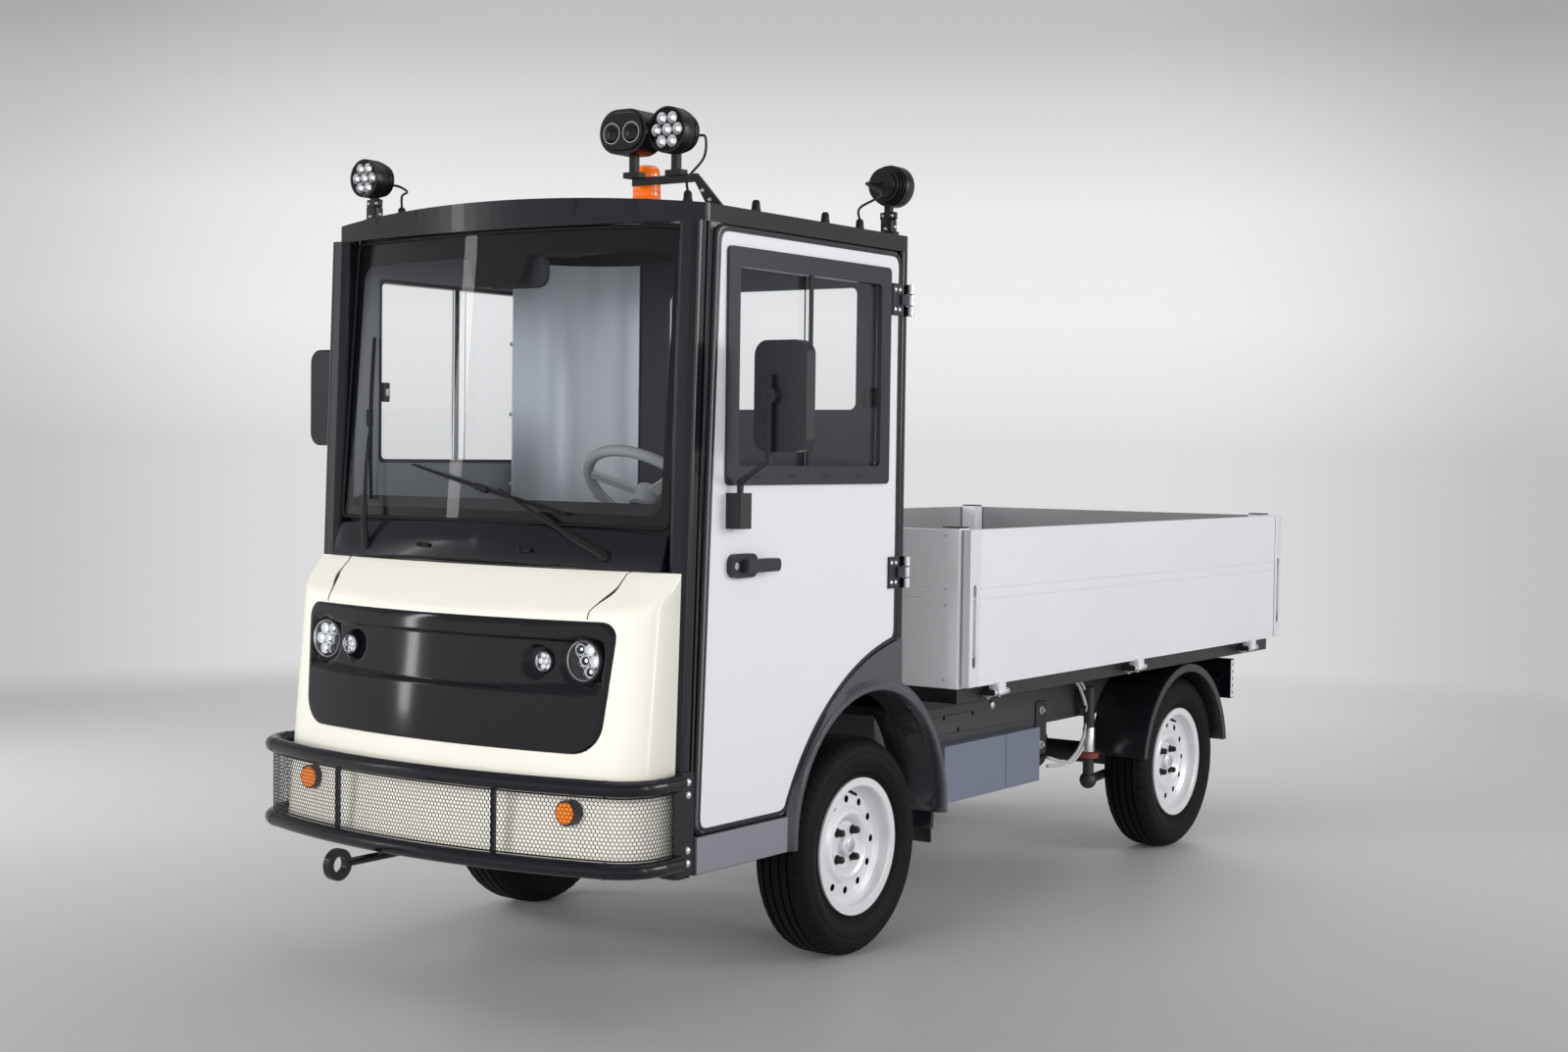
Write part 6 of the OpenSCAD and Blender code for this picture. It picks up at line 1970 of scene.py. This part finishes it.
@dataclass
class Cabin:
    """What shows through the glass: mirror, linings, pedals, stalks."""

    shop: Workshop

    def corner_lining(self) -> Shape:
        """The bent sheet in the cabin's rear corner on the passenger's side.

        Returns:
            The sheet.
        """
        rings = []
        r, x0, y0 = 0.26, -0.540, LAYOUT.cab_back - 0.036
        for k in range(13):
            angle = math.radians(90 * k / 12)
            x, y = x0 + r - r * math.cos(angle), y0 - r + r * math.sin(angle)
            inner = (x0 + r - (r - 0.004) * math.cos(angle), y0 - r + (r - 0.004) * math.sin(angle))
            rings.append([(x, y, 0.735), (x, y, 1.855), (*inner, 1.855), (*inner, 0.735)])
        return Shape().loft(rings)

    def headliner(self) -> Shape:
        """The pale sheet under the roof.

        Returns:
            The sheet.
        """
        rings = []
        y0, y1 = LAYOUT.foot_y + 0.132, LAYOUT.cab_back - 0.06
        for i in range(17):
            x = -0.538 + 1.076 * i / 16
            z = LAYOUT.roof_at(x) - 0.0215
            rings.append([(x, y0, z), (x, y1, z), (x, y1, z - 0.003), (x, y0, z - 0.003)])
        return Shape().loft(rings)

    def build(self) -> None:
        """Builds the cabin's pieces."""
        self.shop.pieces((
            ("corner_lining", self.corner_lining(), Palette.INNER),
            ("headliner", self.headliner(), Palette.INNER),
        ))
        ceiling = facing((0.12, LAYOUT.front_y - 0.45, LAYOUT.roof_at(0.12) - 0.0245), -UP)
        self.shop.piece("cabin_lamp", Shape().pad((0.2, 0.03, 0.008), ceiling, 0.012, 0.003), Palette.GLOW)
        screws = Shape()
        for z in (0.82, 1.02, 1.22, 1.42, 1.62, 1.80):
            screws.dome_bolt(facing((-0.532, LAYOUT.cab_back - 0.31, z), LEFT), 0.012, 0.004)
        self.shop.piece("lining_screws", screws, Palette.STEEL)
        at = facing((0.03, LAYOUT.screen_y + 0.1, 1.765), (0.1, -1.0, -0.08))
        self.shop.piece("inner_mirror", Shape().pad((0.2, 0.09, 0.016), at, 0.035, 0.005), Palette.MIRROR)
        stalk = Shape().tube([(0.03, LAYOUT.screen_y + 0.105, 1.78), (0.02, LAYOUT.screen_y + 0.1, 1.82),
                              (0.0, LAYOUT.screen_y + 0.07, 1.85)], 0.008, 10)
        self.shop.piece("inner_mirror_stalk", stalk, Palette.MIRROR)
        stalks = Shape()
        for sign in (-1.0, 1.0):
            root = Vector((0.29 + sign * 0.03, LAYOUT.front_y - 0.545, 1.165))
            stalks.tube([root, root + Vector((sign * 0.07, 0.0, 0.01)), root + Vector((sign * 0.13, 0.01, 0.03))],
                        lambda t: 0.006 + 0.004 * t, 10)
        self.shop.piece("column_stalks", stalks, Palette.WHEEL_GRIP)
        pedals = Shape()
        for x, tilt in ((0.2, 0.5), (0.36, 0.7)):
            at = facing((x, LAYOUT.front_y - 0.66, 0.52), (0.0, 0.8, tilt))
            pedals.pad((0.07, 0.1, 0.012), at, 0.01)
            pedals.tube([(x, LAYOUT.front_y - 0.664, 0.53), (x, LAYOUT.front_y - 0.7, 0.66),
                         (x, LAYOUT.front_y - 0.742, 0.72)], 0.008, 8)
        self.shop.piece("pedals", pedals, Palette.RUBBER)
        self.shop.paint(Palette.INNER, "cab_tub")
        self.shop.paint(Palette.WALL, "rear_wall")
        self.shop.paint(Palette.DASH, "dashboard", soften=0.004)
        self.shop.paint(Palette.WHEEL_GRIP, "steering_wheel")
        self.shop.paint(Palette.CAB_BLACK, "cab_pillars", "cowl", soften=0.002)
        self.shop.paint(Palette.CAB_BLACK, "roof", soften=0.016)


@dataclass
class Studio:
    """Camera, floor and soft light."""

    place: tuple[float, float, float] = (3.6216, -5.4326, 1.3321)
    yaw: float = 34.965
    pitch: float = 2.082
    roll: float = 0.768
    focal_px: float = 2172.4253
    width_px: float = 1600.0
    sensor: float = 36.0
    backdrop: tuple[float, float, float, float] = (0.53, 0.53, 0.536, 1.0)
    pool_way: tuple[float, float, float] = (-0.5796, 0.8128, 0.0581)
    floor_r: float = 600.0
    floor_steps: int = 96
    clip_end: float = 1500.0

    def camera(self) -> None:
        """Sets the camera where the photographer stood."""
        yaw, pitch, roll = (math.radians(a) for a in (self.yaw, self.pitch, self.roll))
        back = Vector((math.sin(yaw) * math.cos(pitch), -math.cos(yaw) * math.cos(pitch), math.sin(pitch)))
        right = (-back).cross(UP).normalized()
        up = right.cross(-back)
        right, up = (right * math.cos(roll) + up * math.sin(roll), up * math.cos(roll) - right * math.sin(roll))
        data = bpy.data.cameras.new("studio_camera")
        data.sensor_fit = "HORIZONTAL"
        data.sensor_width = self.sensor
        data.lens = self.focal_px / self.width_px * self.sensor
        data.clip_end = self.clip_end
        camera = bpy.data.objects.new("studio_camera", data)
        turn = Matrix((right, up, back)).transposed().to_4x4()
        camera.matrix_world = Matrix.Translation(self.place) @ turn
        bpy.context.scene.collection.objects.link(camera)
        bpy.context.scene.camera = camera

    def pool(self, graph: Graph, way: bpy.types.NodeSocket) -> bpy.types.NodeSocket:
        """Adds the nodes that brighten the backdrop behind the truck.

        Args:
            graph: The graph that gets the nodes.
            way: The direction from the camera's place.

        Returns:
            The brightness there, where one is the plain level.
        """
        near = graph.vector("DOT_PRODUCT", way, self.pool_way)["Value"]
        levels = {"From Min": 0.935, "From Max": 0.985, "To Min": 1.0, "To Max": 1.38}
        return graph.add("MapRange", {"Value": near, **levels}, interpolation_type="SMOOTHSTEP")["Result"]

    def floor(self) -> None:
        """Lays a pale floor that fades into the backdrop, its colour darkened towards the camera as painted shade."""
        shape = Shape().lathe([(self.floor_r, 0.0), (0.0, 0.0)], IDENTITY, self.floor_steps)
        mesh = bpy.data.meshes.new("studio_floor")
        mesh.from_pydata([tuple(p) for p in shape.points], [], shape.faces[:self.floor_steps])
        floor = bpy.data.objects.new("studio_floor", mesh)
        bpy.context.scene.collection.objects.link(floor)
        material = bpy.data.materials.new("studio_floor")
        material.use_nodes = True
        graph, nodes = Graph(material.node_tree), material.node_tree.nodes
        place = graph.add("TexCoord")["Object"]
        reach = graph.vector("SUBTRACT", place, (self.place[0], self.place[1], 0.0))[0]
        length = graph.vector("LENGTH", reach)["Value"]
        fade = graph.math("MAXIMUM", *(
            graph.add("MapRange", {"Value": distance, "From Min": near, "From Max": far},
                      interpolation_type="SMOOTHSTEP")["Result"]
            for distance, near, far in ((length, 8.0, 16.0), (graph.vector("LENGTH", place)["Value"], 4.4, 7.4))
        ))
        # Painted shade: the floor's colour darkens from 0.56 to 0.36 as it nears the camera's foot.
        levels = {"From Min": 4.6, "From Max": 7.6, "To Min": 0.36, "To Max": 0.56}
        shade = graph.add("MapRange", {"Value": length, **levels})
        shader = nodes["Principled BSDF"]
        graph.feed(shader.inputs, {"Roughness": 0.5, "Base Color": shade["Result"]})
        pool = self.pool(graph, graph.vector("NORMALIZE", reach)[0])
        glow = graph.add("Emission", {"Color": self.backdrop, "Strength": pool})["Emission"]
        blend = graph.add("MixShader", {"Fac": fade, 1: shader.outputs["BSDF"], 2: glow})["Shader"]
        graph.feed(nodes["Material Output"].inputs, {"Surface": blend})
        mesh.materials.append(material)

    def lights(self) -> None:
        """Hangs broad soft lights and two narrow ones that draw lines along the edges."""
        for name, place, size, power in (
            ("top_light", (0.3, -0.2, 5.0), (5.0, 5.0), 55.0),
            ("key_light", (5.2, -5.6, 2.6), (2.6, 2.2), 122.0),
            ("front_light", (-0.4, -7.0, 1.6), (3.0, 1.8), 300.0),
            ("left_light", (6.0, 1.8, 2.4), (3.0, 2.2), 150.0),
            ("right_light", (-5.0, -1.4, 2.8), (2.6, 2.6), 130.0),
            ("rear_light", (-2.0, 6.0, 3.0), (3.4, 2.6), 130.0),
            ("left_strip", (5.0, -1.8, 1.7), (0.4, 3.0), 22.0),
            ("right_strip", (-4.2, -5.2, 1.9), (0.25, 2.4), 14.0),
        ):
            data = bpy.data.lights.new(name, "AREA")
            data.shape = "RECTANGLE"
            data.size, data.size_y = size
            data.energy = power
            lamp = bpy.data.objects.new(name, data)
            aim = Vector((0.0, 0.0, 0.9)) - Vector(place)
            lamp.matrix_world = Matrix.Translation(place) @ aim.to_track_quat("-Z", "Y").to_matrix().to_4x4()
            lamp.visible_camera = False
            lamp.visible_transmission = False
            lamp.visible_glossy = name in ("top_light", "left_strip", "right_strip", "left_light")
            bpy.context.scene.collection.objects.link(lamp)

    def world(self) -> None:
        """Fills the room with light that is pale at the horizon and darker above."""
        world = bpy.data.worlds.new("studio_room")
        world.use_nodes = True
        graph, nodes = Graph(world.node_tree), world.node_tree.nodes
        way = graph.add("TexCoord")["Generated"]
        shades = nodes.new("ShaderNodeValToRGB")
        for stop, level in ((0.02, 0.57), (0.06, 0.625), (0.11, 0.61), (0.155, 0.5), (0.19, 0.39), (0.45, 0.27)):
            shades.color_ramp.elements.new(stop).color = (level, level, level * 1.01, 1.0)
        shades.color_ramp.elements[0].color = self.backdrop
        shades.color_ramp.elements[-1].color = (0.22, 0.22, 0.225, 1.0)
        graph.feed(shades.inputs, {"Fac": graph.add("SeparateXYZ", {0: way})["Z"]})
        graph.feed(nodes["Background"].inputs, {"Color": shades.outputs["Color"], "Strength": self.pool(graph, way)})
        bpy.context.scene.world = world
        bpy.context.scene.view_settings.view_transform = "Standard"

    def build(self) -> None:
        """Sets up the studio."""
        self.camera()
        self.floor()
        self.lights()
        self.world()


def main() -> None:
    """Builds every class in order."""
    logging.basicConfig(level=logging.INFO, format="%(message)s")
    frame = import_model()
    Studio().build()
    shop = Workshop(frame, Paintbox())
    for assembly in (Wheels, Bumper, Nose, Headlamps, Windscreen, Doors, RoofGear, Bed, Chassis, TailLamps, Seat,
                     Cabin):
        LOG.info("building %s", assembly.__name__)
        assembly(shop).build()


if __name__ == "__main__":
    main()
